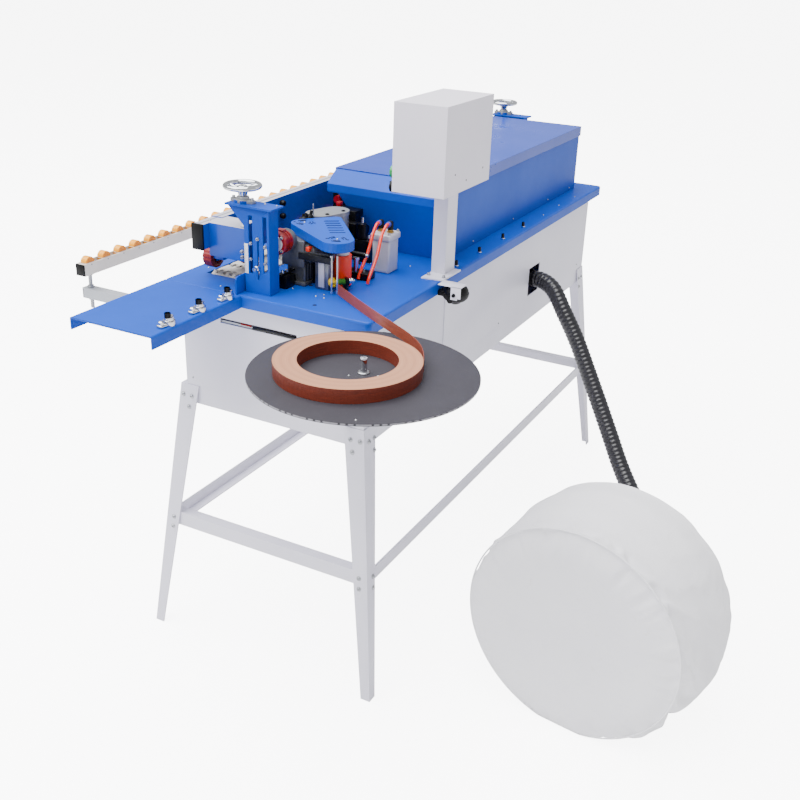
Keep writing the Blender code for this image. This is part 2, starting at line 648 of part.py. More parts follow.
def build_reel():
    steel = material("arm_paint", WHITE, 0.35)
    arm = box("reel_arm", -0.0060, 0.0012, 0.010, 0.078, 0.832, 0.870)
    length = math.hypot(REEL_X + 0.004, REEL_Y - 0.044)
    bar = box("bar", 0.010, length, -0.014, 0.014, 0.842, 0.864)
    angle = math.atan2(REEL_Y - 0.044, REEL_X + 0.004)
    bar.data.transform(Matrix.Translation((-0.004, 0.044, 0)) @ Matrix.Rotation(angle, 4, "Z"))
    join(arm, bar, cylinder("hub", (REEL_X, REEL_Y, 0.8615), 0.020, 0.041, "Z", 24),
         cylinder("spindle", (REEL_X, REEL_Y, 0.897), 0.0060, 0.040, "Z", 16))
    finish(arm, steel)
    disc = cylinder("reel_disc", (REEL_X, REEL_Y, REEL_Z + 0.00225), REEL_R, 0.0045, "Z", 96)
    cut(disc, cylinder("bore", (REEL_X, REEL_Y, REEL_Z), 0.0066, 0.03, "Z", 16))
    finish(disc, material("disc_dark", (0.07, 0.07, 0.08), 0.5))
    z0 = REEL_Z + 0.0045 + GAP
    roll = lathe("tape_roll", [(ROLL_BORE, 0), (ROLL_R, 0), (ROLL_R, TAPE_W), (ROLL_BORE, TAPE_W)],
                 (ROLL_X, ROLL_Y, z0), "Z", 72)
    finish(roll, material("tape_brown", (0.42, 0.13, 0.06), 0.5))


def build_tape_strip():
    # one thickness of tape from the roll to the guide block
    route = [(-0.1675, -0.2152, 0.9012), (-0.132, -0.196, 0.9014), (-0.100, -0.172, 0.902),
             (-0.072, -0.138, 0.904), (-0.052, -0.098, 0.9085), (-0.028, -0.047, 0.9135),
             (0.025, 0.036, 0.915), (0.0790, 0.1140, 0.916)]
    pts = smooth_route(route, 40)
    rings = []
    for i, p in enumerate(pts):
        q, r = pts[max(0, i - 1)], pts[min(len(pts) - 1, i + 1)]
        d = (r - q)
        side = Vector((d.y, -d.x, 0.0)).normalized() * 0.0005
        up = Vector((0, 0, 0.0115))
        rings.append([p + side - up, p + side + up, p - side + up, p - side - up])
    finish(tube_ring("tape_strip", rings), material("strip_brown", (0.42, 0.13, 0.06), 0.5))


# ---- hood ----

def build_hood():
    z0, x1 = TABLE_Z + GAP, HOOD_X1 - 0.002
    ob = prism("hood_body", [(x1, z0), (x1, 1.0825), (0.4262, 1.0825), (0.385, 1.0550), (0.385, 1.0370),
                             (0.437, z0)], HOOD_Y0 + 0.003, HOOD_Y1 - 0.002, "Y")
    inner = prism("inside", [(x1 - 0.002, z0 - 0.01), (x1 - 0.002, 1.0805), (0.4270, 1.0805),
                             (0.387, 1.0540), (0.387, 1.0372), (0.4430, z0 - 0.01)],
                  HOOD_Y0 + 0.005, HOOD_Y1 - 0.004, "Y")
    cut(ob, inner, box("lid_opening", 0.470, x1 - 0.015, HOOD_Y0 + 0.014, HOOD_Y1 - 0.014, 1.05, 1.12))
    gap = prism("front_opening", [(0.3345, z0 - 0.01), (0.3345, 1.0345), (0.3000, 1.0345), (0.2530, 0.947),
                                  (0.2530, z0 - 0.01)], 0.30, 0.50, "X")
    cut(ob, gap, box("work_side", 0.30, x1 - 0.012, 0.320, 0.345, z0 - 0.01, 0.990),
        box("work_exit", 1.30, 1.40, 0.285, 0.345, z0 - 0.01, 0.990))
    finish(ob, material("hood_paint", BLUE, 0.25))
    x0, y0, y1 = 0.4275, HOOD_Y0 - 0.0006, HOOD_Y1 + 0.0006
    lid = box("hood_lid", x0, HOOD_X1, y0, y1, 1.0583, HOOD_TOP + 0.0015)
    cut(lid, box("under", x0 - 0.01, HOOD_X1 - 0.0015, y0 + 0.0018, y1 - 0.0018, 1.05, 1.0833))
    finish(lid, material("lid_paint", BLUE, 0.25))


# ---- electric box ----

def build_electric():
    paint = material("box_paint", WHITE, 0.35)
    col = box("box_column", 0.333, 0.383, -0.0140, 0.0200, TABLE_Z + GAP, BOX_Z0 - GAP)
    cut(col, box("hollow", 0.336, 0.390, -0.0110, 0.0170, TABLE_Z + 0.01, BOX_Z0 - 0.01))
    join(col, prism("foot", [(0.293, -0.030), (0.386, -0.030), (0.386, 0.022), (0.286, 0.022)],
                    TABLE_Z + GAP, TABLE_Z + 0.0035, "Z"))
    finish(col, paint)
    w = BOX_WALL
    case = box("electric_box", BOX_X0, BOX_X1, BOX_Y0, BOX_Y1, BOX_Z0, BOX_Z1)
    cut(case, box("inside", BOX_X0 + w, BOX_X1 - w, BOX_Y0 + w, BOX_Y1 - w, BOX_Z0 + w, BOX_Z1 - w),
        box("cable_hole", 0.345, 0.375, -0.008, 0.014, BOX_Z0 - 0.01, BOX_Z0 + 0.01),
        cylinder("button_hole", (0.222, BOX_Y1, 1.146), 0.0102, 0.02, "Y", 20))
    finish(case, paint)
    green = cylinder("green_button", (0.222, BOX_Y1 + 0.0095, 1.146), 0.0130, 0.0100, "Y", 24, 0.0115)
    join(green, cylinder("stem", (0.222, BOX_Y1 - 0.0010, 1.146), 0.0095, 0.0140, "Y", 20))
    finish(green, material("button_green", (0.02, 0.45, 0.12), 0.35))
    knob = cylinder("control_knob", (0.224, BOX_Y1 + 0.0095, BOX_Z0 + 0.004), 0.0125, 0.0184, "Y", 24)
    finish(knob, material("knob_black", DARK, 0.4))
    reg = cylinder("air_regulator", (0.298, -0.0600, 0.8786), 0.0300, 0.0230, "Z", 28)
    join(reg, cylinder("bowl", (0.298, -0.0600, 0.8610), 0.0150, 0.018, "Z", 20),
         box("bracket", 0.276, 0.320, -0.0480, -0.0253, 0.872, 0.884))
    finish(reg, material("regulator_black", DARK, 0.4))


# ---- roller rail ----

def build_roller_rail():
    tube = box("rail_tube", LINE_X0, LINE_X1, LINE_Y0, LINE_Y1, LINE_Z0, LINE_Z1)
    y0, y1 = LINE_Y0 + 0.003, LINE_Y1 - 0.003
    cut(tube, box("slot", LINE_X0 + 0.006, LINE_X1 - 0.006, y0, y1, LINE_Z0 + 0.003, LINE_Z1 + 0.01))
    finish(tube, material("rail_alu", (0.80, 0.79, 0.76), 0.35))
    grey = material("arm_grey", (0.70, 0.70, 0.70), 0.35)
    for name, cx in (("rail_arm_infeed", ARM_X0), ("rail_arm_outfeed", ARM_X1)):
        arm = box(name, cx - 0.0125, cx + 0.0125, 0.250, 0.769, 0.7950, 0.8200)
        cut(arm, box("bore", cx - 0.0105, cx + 0.0105, 0.240, 0.766, 0.7970, 0.8180))
        join(arm, cylinder("post", (cx, 0.755, 0.8345), 0.0045, 0.0405, "Z", 12))
        finish(arm, grey)
    orange = material("wheel_orange", (0.95, 0.38, 0.03), 0.4)
    for k in range(0, LINE_WHEELS, 4):
        cx = 0.013 + WHEEL_PITCH * k
        name = "rail_wheel_%02d" % (k + 1)
        wheel = cylinder(name, (cx, 0.755, LINE_WHEEL_Z), LINE_WHEEL_R, 0.0190, "Y", 24)
        finish(wheel, orange)


# ---- dust hose and bag ----

def build_dust():
    turn = Matrix.Rotation(BAG_TURN, 4, "Z")
    rows = []
    for t, k in ((0.0, 0.94), (0.03, 1.00), (0.12, 1.045), (0.35, 1.085), (0.60, 1.09), (0.85, 1.05),
                 (0.95, 0.95), (1.0, 0.80)):
        ring = []
        for i in range(40):
            a = 2 * math.pi * i / 40
            r = BAG_R * k
            h = max(0.0, BAG_R + r * math.sin(a))
            v = turn @ Vector((BAG_L * t, r * math.cos(a), 0.0))
            ring.append((BAG_X + v.x, BAG_Y + v.y, h))
        rows.append(ring)
    bag = tube_ring("dust_bag", rows)
    finish(bag, material("bag_fabric", (0.85, 0.85, 0.85), 0.9))
    end = Vector((BAG_X, BAG_Y, BAG_R)) + turn @ Vector((BAG_L + 0.0025, 0, 0))
    lead = end + turn @ Vector((0.060, 0, 0))
    route = [(0.957, 0.004, 0.722), (0.952, -0.030, 0.722), (0.935, -0.070, 0.707), (0.912, -0.112, 0.660),
             (0.890, -0.165, 0.592), (0.862, -0.215, 0.520), (0.832, -0.265, 0.448), (0.800, -0.315, 0.376),
             (0.762, -0.365, 0.310), (0.710, -0.425, 0.254), (0.640, -0.480, 0.225), (0.545, -0.520, 0.232),
             lead, end]
    finish(hose("dust_hose", route, HOSE_R, 48, 3), material("hose_black", (0.03, 0.03, 0.03), 0.6))


def place_origin():
    shift = Matrix.Translation((-ORIGIN_X, -ORIGIN_Y, 0.0))
    for ob in MACHINE.objects:
        ob.data.transform(shift)
        ob.data.update()


build_legs()
build_top_frame()
build_stretchers()
build_cabinet()
build_table()
build_infeed_table()
build_guide_fence()
build_columns()
build_handwheels()
build_beam()
build_pressure_rollers()
build_chain()
build_sprocket()
build_belt_guard()
build_glue_unit()
build_glue_pot()
build_air_cylinder()
build_air_hoses()
build_trim_unit()
build_reel()
build_tape_strip()
build_hood()
build_electric()
build_roller_rail()
build_dust()
place_origin()
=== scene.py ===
import bpy
import bmesh
import math
import random
from mathutils import Matrix, Vector, noise


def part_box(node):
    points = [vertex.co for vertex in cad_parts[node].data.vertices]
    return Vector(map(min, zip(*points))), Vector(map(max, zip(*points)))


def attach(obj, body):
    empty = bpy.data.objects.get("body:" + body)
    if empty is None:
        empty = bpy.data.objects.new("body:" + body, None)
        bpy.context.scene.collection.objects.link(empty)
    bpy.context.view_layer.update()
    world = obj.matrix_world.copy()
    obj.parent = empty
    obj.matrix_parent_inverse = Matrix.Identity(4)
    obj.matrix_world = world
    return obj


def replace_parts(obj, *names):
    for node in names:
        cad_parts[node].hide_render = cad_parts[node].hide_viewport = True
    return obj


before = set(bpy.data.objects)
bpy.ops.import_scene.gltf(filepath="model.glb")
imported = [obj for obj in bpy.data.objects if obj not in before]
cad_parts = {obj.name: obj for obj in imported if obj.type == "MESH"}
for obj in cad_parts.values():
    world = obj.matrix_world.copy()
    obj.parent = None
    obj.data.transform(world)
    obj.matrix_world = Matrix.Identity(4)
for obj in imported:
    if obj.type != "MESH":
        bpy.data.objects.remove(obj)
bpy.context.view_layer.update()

# the table corner gives the place of everything drawn on the stand
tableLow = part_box("table_top")[0]
standX = tableLow[0] + 0.028
standY = tableLow[1] + 0.025


def at(x, y, z):
    return Vector((standX + x, standY + y, z))


# ---- small modelling kit ----

def deselectAll():
    active = bpy.context.view_layer.objects.active
    if active and active.mode != "OBJECT":
        bpy.ops.object.mode_set(mode="OBJECT")
    bpy.ops.object.select_all(action="DESELECT")


def only(piece):
    deselectAll()
    piece.select_set(True)
    bpy.context.view_layer.objects.active = piece


def named(name):
    piece = bpy.context.active_object
    piece.name = name
    piece.data.name = name
    return piece


def settle(piece):
    only(piece)
    bpy.ops.object.transform_apply(location=True, rotation=True, scale=True)
    return piece


def facing(way, *spots):
    # places on the stand that all look the same way, for scatter
    return [(at(*spot), way) for spot in spots]


# the height at which the pieces on the table stand, a hair above its face
seat = 0.9004


def upward(z, pairs):
    return [(at(x, y, z), (0, 0, 1)) for x, y in pairs]


lying = {"X": (0, math.radians(90), 0), "Y": (math.radians(-90), 0, 0), "Z": (0, 0, 0)}


def addCylinder(name, centre, radius, depth, axis="Z", sides=28):
    deselectAll()
    bpy.ops.mesh.primitive_cylinder_add(vertices=sides, radius=radius, depth=depth, location=centre,
                                        rotation=lying[axis])
    return settle(named(name))


def addBlock(name, low, high):
    deselectAll()
    low, high = Vector(low), Vector(high)
    bpy.ops.mesh.primitive_cube_add(size=1, location=(low + high) / 2, scale=high - low)
    return settle(named(name))


def slab(name, low, high, width=0.0, segments=2, angle=35):
    # a block between two corners on the stand, with its edges rounded when a width is given
    block = addBlock(name, at(*low), at(*high))
    return roundEdges(block, width, segments, angle) if width else block


def addRing(name, centre, radius, thickness, axis="Z", steps=40, around=10):
    deselectAll()
    bpy.ops.mesh.primitive_torus_add(major_radius=radius, minor_radius=thickness, major_segments=steps,
                                     minor_segments=around, location=centre, rotation=lying[axis])
    return settle(named(name))


def pickFaces(piece, wanted):
    only(piece)
    bpy.ops.object.mode_set(mode="EDIT")
    bpy.ops.mesh.select_mode(type="FACE")
    bpy.ops.mesh.select_all(action="DESELECT")
    cage = bmesh.from_edit_mesh(piece.data)
    for face in cage.faces:
        face.select_set(bool(wanted(face.calc_center_median(), face.normal)))
    bmesh.update_edit_mesh(piece.data)


def pickEdges(piece, wanted):
    only(piece)
    bpy.ops.object.mode_set(mode="EDIT")
    bpy.ops.mesh.select_mode(type="EDGE")
    bpy.ops.mesh.select_all(action="DESELECT")
    cage = bmesh.from_edit_mesh(piece.data)
    for edge in cage.edges:
        a, b = edge.verts[0].co, edge.verts[1].co
        edge.select_set(bool(wanted((a + b) / 2, (b - a).normalized())))
    bmesh.update_edit_mesh(piece.data)


def inset(thickness, depth=0.0):
    bpy.ops.mesh.inset(thickness=thickness, depth=depth)


def extrude(step):
    bpy.ops.mesh.extrude_region_move(TRANSFORM_OT_translate={"value": step})


def done(piece):
    bpy.ops.object.mode_set(mode="OBJECT")
    return piece


def useModifier(piece, kind, **settings):
    only(piece)
    modifier = piece.modifiers.new(kind.lower(), kind)
    for key, value in settings.items():
        setattr(modifier, key, value)
    bpy.ops.object.modifier_apply(modifier=modifier.name)
    return piece


def roundEdges(piece, width, segments=2, angle=35):
    return useModifier(piece, "BEVEL", width=width, segments=segments, limit_method="ANGLE",
                       angle_limit=math.radians(angle), use_clamp_overlap=True)


def spinPiece(name, profile, centre, axis="Z", steps=40):
    # profile is (radius, height) pairs, drawn point by point and spun round its axis
    deselectAll()
    bpy.ops.mesh.primitive_plane_add(size=0.01, location=(0, 0, 0))
    piece = named(name)
    bpy.ops.object.mode_set(mode="EDIT")
    bpy.ops.mesh.select_mode(type="VERT")
    bpy.ops.mesh.select_all(action="SELECT")
    bpy.ops.mesh.merge(type="CENTER")
    bpy.ops.transform.translate(value=(profile[0][0], 0, profile[0][1]))
    for (r0, h0), (r1, h1) in zip(profile, profile[1:]):
        bpy.ops.mesh.extrude_vertices_move(TRANSFORM_OT_translate={"value": (r1 - r0, 0, h1 - h0)})
    bpy.ops.mesh.select_all(action="SELECT")
    bpy.ops.mesh.spin(steps=steps, angle=2 * math.pi, center=(0, 0, 0), axis=(0, 0, 1))
    bpy.ops.mesh.select_all(action="SELECT")
    bpy.ops.mesh.remove_doubles(threshold=0.000005)
    bpy.ops.mesh.normals_make_consistent(inside=False)
    bpy.ops.object.mode_set(mode="OBJECT")
    turn = {"X": Matrix.Rotation(math.pi / 2, 4, "Y"), "Y": Matrix.Rotation(-math.pi / 2, 4, "X"),
            "Z": Matrix.Identity(4)}[axis]
    piece.data.transform(Matrix.Translation(centre) @ turn)
    return piece


def turned(name, profile, steps):
    # the same, standing on its own origin
    return spinPiece(name, profile, (0, 0, 0), "Z", steps)


def copyOf(source, name, matrix):
    piece = source.copy()
    piece.data = source.data.copy()
    piece.name = piece.data.name = name
    bpy.context.scene.collection.objects.link(piece)
    piece.data.transform(matrix)
    return piece


def joined(pieces, name):
    deselectAll()
    for piece in pieces:
        piece.select_set(True)
    bpy.context.view_layer.objects.active = pieces[0]
    if len(pieces) > 1:
        bpy.ops.object.join()
    return named(name)


def smooth(piece, angle=32):
    only(piece)
    bpy.ops.object.shade_smooth_by_angle(angle=math.radians(angle))
    return piece


def dress(piece, material, body="machine", angle=32):
    piece.data.materials.clear()
    piece.data.materials.append(material)
    smooth(piece, angle)
    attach(piece, body)
    return piece


def drop(piece):
    bpy.data.objects.remove(piece, do_unlink=True)


def aimed(direction):
    return Vector(direction).to_track_quat("Z", "Y").to_matrix().to_4x4()


def pointed(piece, place, way):
    # carries a piece from the origin to its place on the stand, facing the given way
    piece.data.transform(Matrix.Translation(at(*place)) @ aimed(way))


def smoothRoute(points, count):
    # a soft curve through the route points, read at even steps
    p = [Vector(q) for q in points]
    p = [p[0] * 2 - p[1]] + p + [p[-1] * 2 - p[-2]]
    fine = []
    for i in range(1, len(p) - 2):
        for k in range(24):
            t = k / 24.0
            a, b, c, d = p[i - 1], p[i], p[i + 1], p[i + 2]
            fine.append(0.5 * ((2 * b) + (c - a) * t + (2 * a - 5 * b + 4 * c - d) * t * t
                               + (3 * b - a - 3 * c + d) * t ** 3))
    fine.append(p[-2])
    lengths = [0.0]
    for a, b in zip(fine, fine[1:]):
        lengths.append(lengths[-1] + (b - a).length)
    out, j = [], 0
    for k in range(count):
        s = lengths[-1] * k / (count - 1)
        while j < len(fine) - 2 and lengths[j + 1] < s:
            j += 1
        u = (s - lengths[j]) / max(1e-9, lengths[j + 1] - lengths[j])
        out.append(fine[j].lerp(fine[j + 1], min(1.0, u)))
    return out


def tubeAlong(name, route, radii, sides=16):
    # a tube swept along the route, one radius for each point, closed at both ends
    mesh = bpy.data.meshes.new(name)
    verts, faces = [], []
    up = Vector((0, 0, 1))
    for i, point in enumerate(route):
        way = (route[min(i + 1, len(route) - 1)] - route[max(i - 1, 0)]).normalized()
        side = way.cross(up)
        side = side.normalized() if side.length > 0.05 else Vector((1, 0, 0))
        over = side.cross(way).normalized()
        for k in range(sides):
            a = 2 * math.pi * k / sides
            verts.append(point + (side * math.cos(a) + over * math.sin(a)) * radii[i])
        up = over
    for i in range(len(route) - 1):
        for k in range(sides):
            a, b = i * sides + k, i * sides + (k + 1) % sides
            faces.append((a, b, b + sides, a + sides))
    faces.append(tuple(range(sides)))
    faces.append(tuple(range((len(route) - 1) * sides + sides - 1, (len(route) - 1) * sides - 1, -1)))
    mesh.from_pydata(verts, [], faces)
    piece = bpy.data.objects.new(name, mesh)
    bpy.context.scene.collection.objects.link(piece)
    only(piece)
    bpy.ops.object.mode_set(mode="EDIT")
    bpy.ops.mesh.select_all(action="SELECT")
    bpy.ops.mesh.normals_make_consistent(inside=False)
    return done(piece)


# ---- finishes ----

def linked(tree, kind, **inputs):
    # a node with some of its sockets set or linked
    node = tree.nodes.new(kind)
    for key, value in inputs.items():
        socket = node.inputs[int(key[1:])] if key[0] == "i" and key[1:].isdigit() else node.inputs[key]
        if isinstance(value, bpy.types.NodeSocket):
            tree.links.new(value, socket)
        else:
            socket.default_value = value
    return node


def makeBreakupGroup():
    # slow mottle, fine grain and a height for them, all from one position
    group = bpy.data.node_groups.new("surfaceBreakup", "ShaderNodeTree")
    face = group.interface
    face.new_socket("Position", in_out="INPUT", socket_type="NodeSocketVector")
    for label, value in (("Mottle Scale", 4.0), ("Grain Scale", 700.0)):
        face.new_socket(label, in_out="INPUT", socket_type="NodeSocketFloat").default_value = value
    for label in ("Mottle", "Grain", "Height"):
        face.new_socket(label, in_out="OUTPUT", socket_type="NodeSocketFloat")
    start = group.nodes.new("NodeGroupInput")
    end = group.nodes.new("NodeGroupOutput")
    slow = linked(group, "ShaderNodeTexNoise", Vector=start.outputs["Position"],
                  Scale=start.outputs["Mottle Scale"])
    slow.inputs["Detail"].default_value = 5.0
    slow.inputs["Roughness"].default_value = 0.6
    fine = linked(group, "ShaderNodeTexNoise", Vector=start.outputs["Position"],
                  Scale=start.outputs["Grain Scale"])
    fine.inputs["Detail"].default_value = 2.0
    height = group.nodes.new("ShaderNodeMath")
    height.operation = "MULTIPLY_ADD"
    group.links.new(slow.outputs[0], height.inputs[0])
    height.inputs[1].default_value = 0.35
    group.links.new(fine.outputs[0], height.inputs[2])
    group.links.new(slow.outputs[0], end.inputs["Mottle"])
    group.links.new(fine.outputs[0], end.inputs["Grain"])
    group.links.new(height.outputs[0], end.inputs["Height"])
    return group


breakup = makeBreakupGroup()


def srgb(text):
    # a colour picked on screen, as the linear values that a shader wants
    values = [int(text[i:i + 2], 16) / 255 for i in (0, 2, 4)]
    return tuple(v / 12.92 if v <= 0.04045 else ((v + 0.055) / 1.055) ** 2.4 for v in values) + (1.0,)


def startMaterial(name, mottle=4.0, grain=700.0):
    material = bpy.data.materials.new(name)
    material.use_nodes = True
    tree = material.node_tree
    place = tree.nodes.new("ShaderNodeTexCoord")
    texture = tree.nodes.new("ShaderNodeGroup")
    texture.node_tree = breakup
    tree.links.new(place.outputs["Object"], texture.inputs["Position"])
    texture.inputs["Mottle Scale"].default_value = mottle
    texture.inputs["Grain Scale"].default_value = grain
    return material, tree, tree.nodes["Principled BSDF"], place, texture


def spread(tree, value, low, high):
    node = tree.nodes.new("ShaderNodeMapRange")
    tree.links.new(value, node.inputs["Value"])
    node.inputs["From Min"].default_value = 0.3
    node.inputs["From Max"].default_value = 0.7
    node.inputs["To Min"].default_value = low
    node.inputs["To Max"].default_value = high
    return node.outputs["Result"]


def blendColour(tree, factor, first, second):
    node = tree.nodes.new("ShaderNodeMix")
    node.data_type = "RGBA"
    for socket, value in ((node.inputs[0], factor), (node.inputs[6], first), (node.inputs[7], second)):
        if isinstance(value, bpy.types.NodeSocket):
            tree.links.new(value, socket)
        else:
            socket.default_value = value
    return node.outputs[2]


def mottled(tree, texture, light, deep):
    return blendColour(tree, spread(tree, texture.outputs["Mottle"], 0, 1), srgb(light), srgb(deep))


def finish(name, colour, shade, rough=(0.3, 0.4), metal=0.0, coat=0.0, coatRough=0.08, mottle=4.0,
           grain=700.0, bump=0.1, height=0.0002, edge=0.0, specular=0.5):
    # one painted, plated or moulded finish: two close colours mottled, uneven gloss and a fine skin
    material, tree, shader, place, texture = startMaterial(name, mottle, grain)
    tree.links.new(mottled(tree, texture, colour, shade), shader.inputs["Base Color"])
    tree.links.new(spread(tree, texture.outputs["Mottle"], rough[0], rough[1]), shader.inputs["Roughness"])
    shader.inputs["Metallic"].default_value = metal
    shader.inputs["Coat Weight"].default_value = coat
    shader.inputs["Coat Roughness"].default_value = coatRough
    shader.inputs["Specular IOR Level"].default_value = specular
    skin = linked(tree, "ShaderNodeBump", Strength=bump, Distance=height, Height=texture.outputs["Height"])
    if edge:
        soft = linked(tree, "ShaderNodeBevel", Radius=edge)
        soft.samples = 4
        tree.links.new(soft.outputs[0], skin.inputs["Normal"])
    tree.links.new(skin.outputs[0], shader.inputs["Normal"])
    material.diffuse_color = srgb(colour)
    return material


finishes = {"blueCoat": dict(colour="004ab8", shade="0044ac", rough=(0.42, 0.5), coat=0.04, coatRough=0.15,
                             grain=900, bump=0.12, edge=0.0014, specular=0.22),
            "whiteCoat": dict(colour="e2e0ec", shade="dbd9e6", rough=(0.34, 0.44), coat=0.15, grain=900,
                              bump=0.1, edge=0.001), "boxCoat": dict(colour="e9e5ee", shade="e2deea",
        rough=(0.5, 0.6), grain=1400, bump=0.35, height=0.0003, edge=0.0014),
            "armCoat": dict(colour="b9bcc2", shade="a9adb4", rough=(0.3, 0.42), metal=0.35, grain=900,
                            edge=0.0008), "chrome": dict(colour="d9dbde", shade="cdd0d4",
        rough=(0.07, 0.14), metal=1.0, grain=300, bump=0.03),
            "zinc": dict(colour="c3c4c6", shade="9fa1a6", rough=(0.22, 0.36), metal=1.0, mottle=60,
                         grain=1500, bump=0.1), "castGrey": dict(colour="a9abad", shade="8f9194",
        rough=(0.42, 0.58), metal=0.75, mottle=40, grain=1300, bump=0.5, height=0.0004, edge=0.0008),
            "darkCast": dict(colour="2c2d31", shade="1b1c20", rough=(0.4, 0.55), metal=0.55, mottle=40,
                             grain=1100, bump=0.5, height=0.0004, edge=0.0008),
            "gearGrey": dict(colour="6a6c70", shade="55575b", rough=(0.42, 0.58), metal=0.5, mottle=40,
                             grain=1300, bump=0.5, height=0.0004, edge=0.0008),
            "blackMoulding": dict(colour="060607", shade="040405", rough=(0.4, 0.52), mottle=30, grain=1200,
                                  bump=0.2, specular=0.25), "blackSteel": dict(colour="101013",
        shade="0a0a0d", rough=(0.28, 0.4), metal=0.6, mottle=60, grain=1500, bump=0.15),
            "redMotor": dict(colour="96060e", shade="80040c", rough=(0.28, 0.4), coat=0.3, mottle=40,
                             grain=900, bump=0.2), "redRubber": dict(colour="940812", shade="7c0610",
        rough=(0.42, 0.55), mottle=50, grain=1500, bump=0.3, edge=0.0008),
            "orangeMoulding": dict(colour="e87800", shade="dc6c00", rough=(0.3, 0.4), mottle=60, grain=900,
                                   bump=0.08), "orangeRoller": dict(colour="ff3a08", shade="f63204",
        rough=(0.35, 0.45), mottle=40, grain=900, bump=0.1, edge=0.0006),
            "railPaint": dict(colour="e2ddd6", shade="dbd5ce", rough=(0.32, 0.42), metal=0.1, mottle=8,
                              grain=900, edge=0.0008), "padRubber": dict(colour="d4d1cc", shade="c2beb8",
        rough=(0.45, 0.6), mottle=50, grain=1300, bump=0.3, edge=0.0006),
            "yellowMoulding": dict(colour="e6c000", shade="dab400", rough=(0.35, 0.45), mottle=60,
                                   grain=900), "greenMoulding": dict(colour="13a04a", shade="0f8a3f",
        rough=(0.25, 0.35), coat=0.3, mottle=60, grain=900),
            "greenSpring": dict(colour="4f9a3a", shade="428a2e", rough=(0.35, 0.5), metal=0.3, mottle=90,
                                grain=900), "brass": dict(colour="c9a45c", shade="a8813e",
        rough=(0.25, 0.4), metal=1.0, mottle=90, grain=1500, bump=0.15),
            "blueRing": dict(colour="3a3fb0", shade="32369c", rough=(0.3, 0.4), mottle=60, grain=900),
            "scaleWhite": dict(colour="f2f1f4", shade="e9e8ec", rough=(0.3, 0.4), mottle=60, grain=900,
                               bump=0.05), "scaleInk": dict(colour="2b2f63", shade="20244f",
        rough=(0.5, 0.6), mottle=60, grain=900, bump=0.05),
            "steelBlock": dict(colour="8d8f94", shade="6c6e74", rough=(0.3, 0.45), metal=0.9, mottle=30,
                               grain=1400, bump=0.25, edge=0.0008),
            "paleCast": dict(colour="c9c8cf", shade="bdbcc5", rough=(0.34, 0.46), metal=0.2, mottle=30,
                             grain=1200, bump=0.3, edge=0.001), "cableBlack": dict(colour="08080a",
        shade="060608", rough=(0.4, 0.5), mottle=90, grain=900),
            "cableRed": dict(colour="980808", shade="840606", rough=(0.35, 0.45), mottle=90, grain=900),
            # near-black finish for holes and slots drawn as flat discs and strips: painted shade inside the
            # openings
            "paintedHoleShade": dict(colour="08080a", shade="050507", rough=(0.7, 0.8), mottle=60, grain=900,
                             bump=0.05), }
mats = {name: finish(name, **values) for name, values in finishes.items()}
print("finishes ready")


# ---- camera, floor and lights ----

camera = {"place": (-1.72841, -0.97557, 1.62675), "azimuth": -62.697, "elevation": 24.575, "roll": 1.945,
          "lens": 47.077}


def addCamera():
    az, el, roll = (math.radians(camera[k]) for k in ("azimuth", "elevation", "roll"))
    back = Vector((math.sin(az) * math.cos(el), -math.cos(az) * math.cos(el), math.sin(el)))
    right = Vector((math.cos(az), math.sin(az), 0))
    up = back.cross(right)
    tiltedRight = math.cos(roll) * right + math.sin(roll) * up
    tiltedUp = math.cos(roll) * up - math.sin(roll) * right
    data = bpy.data.cameras.new("studioCamera")
    data.lens = camera["lens"]
    data.sensor_width = 36
    data.clip_start, data.clip_end = 0.05, 200
    piece = bpy.data.objects.new("studioCamera", data)
    bpy.context.scene.collection.objects.link(piece)
    turn = Matrix((tiltedRight, tiltedUp, back)).transposed().to_4x4()
    piece.matrix_world = Matrix.Translation(at(*camera["place"])) @ turn
    bpy.context.scene.camera = piece


studio = {"world": 0.75, "keyPower": 1500, "keySize": 8.0, "keyPlace": (-1.2, 1.8, 6.6),
          "keyAim": (0.6, 0.0, 0.5), "fillPower": 6, "fillSize": 3.5, "fillPlace": (-3.0, -2.6, 2.2),
          "fillAim": (0.4, 0.0, 0.6), "glow": 7.0}


def addLight(name, place, aim, size, power):
    data = bpy.data.lights.new(name, "AREA")
    data.size = size
    data.energy = power
    piece = bpy.data.objects.new(name, data)
    bpy.context.scene.collection.objects.link(piece)
    piece.location = at(*place)
    piece.rotation_mode = "QUATERNION"
    piece.rotation_quaternion = (at(*aim) - at(*place)).to_track_quat("-Z", "Y")


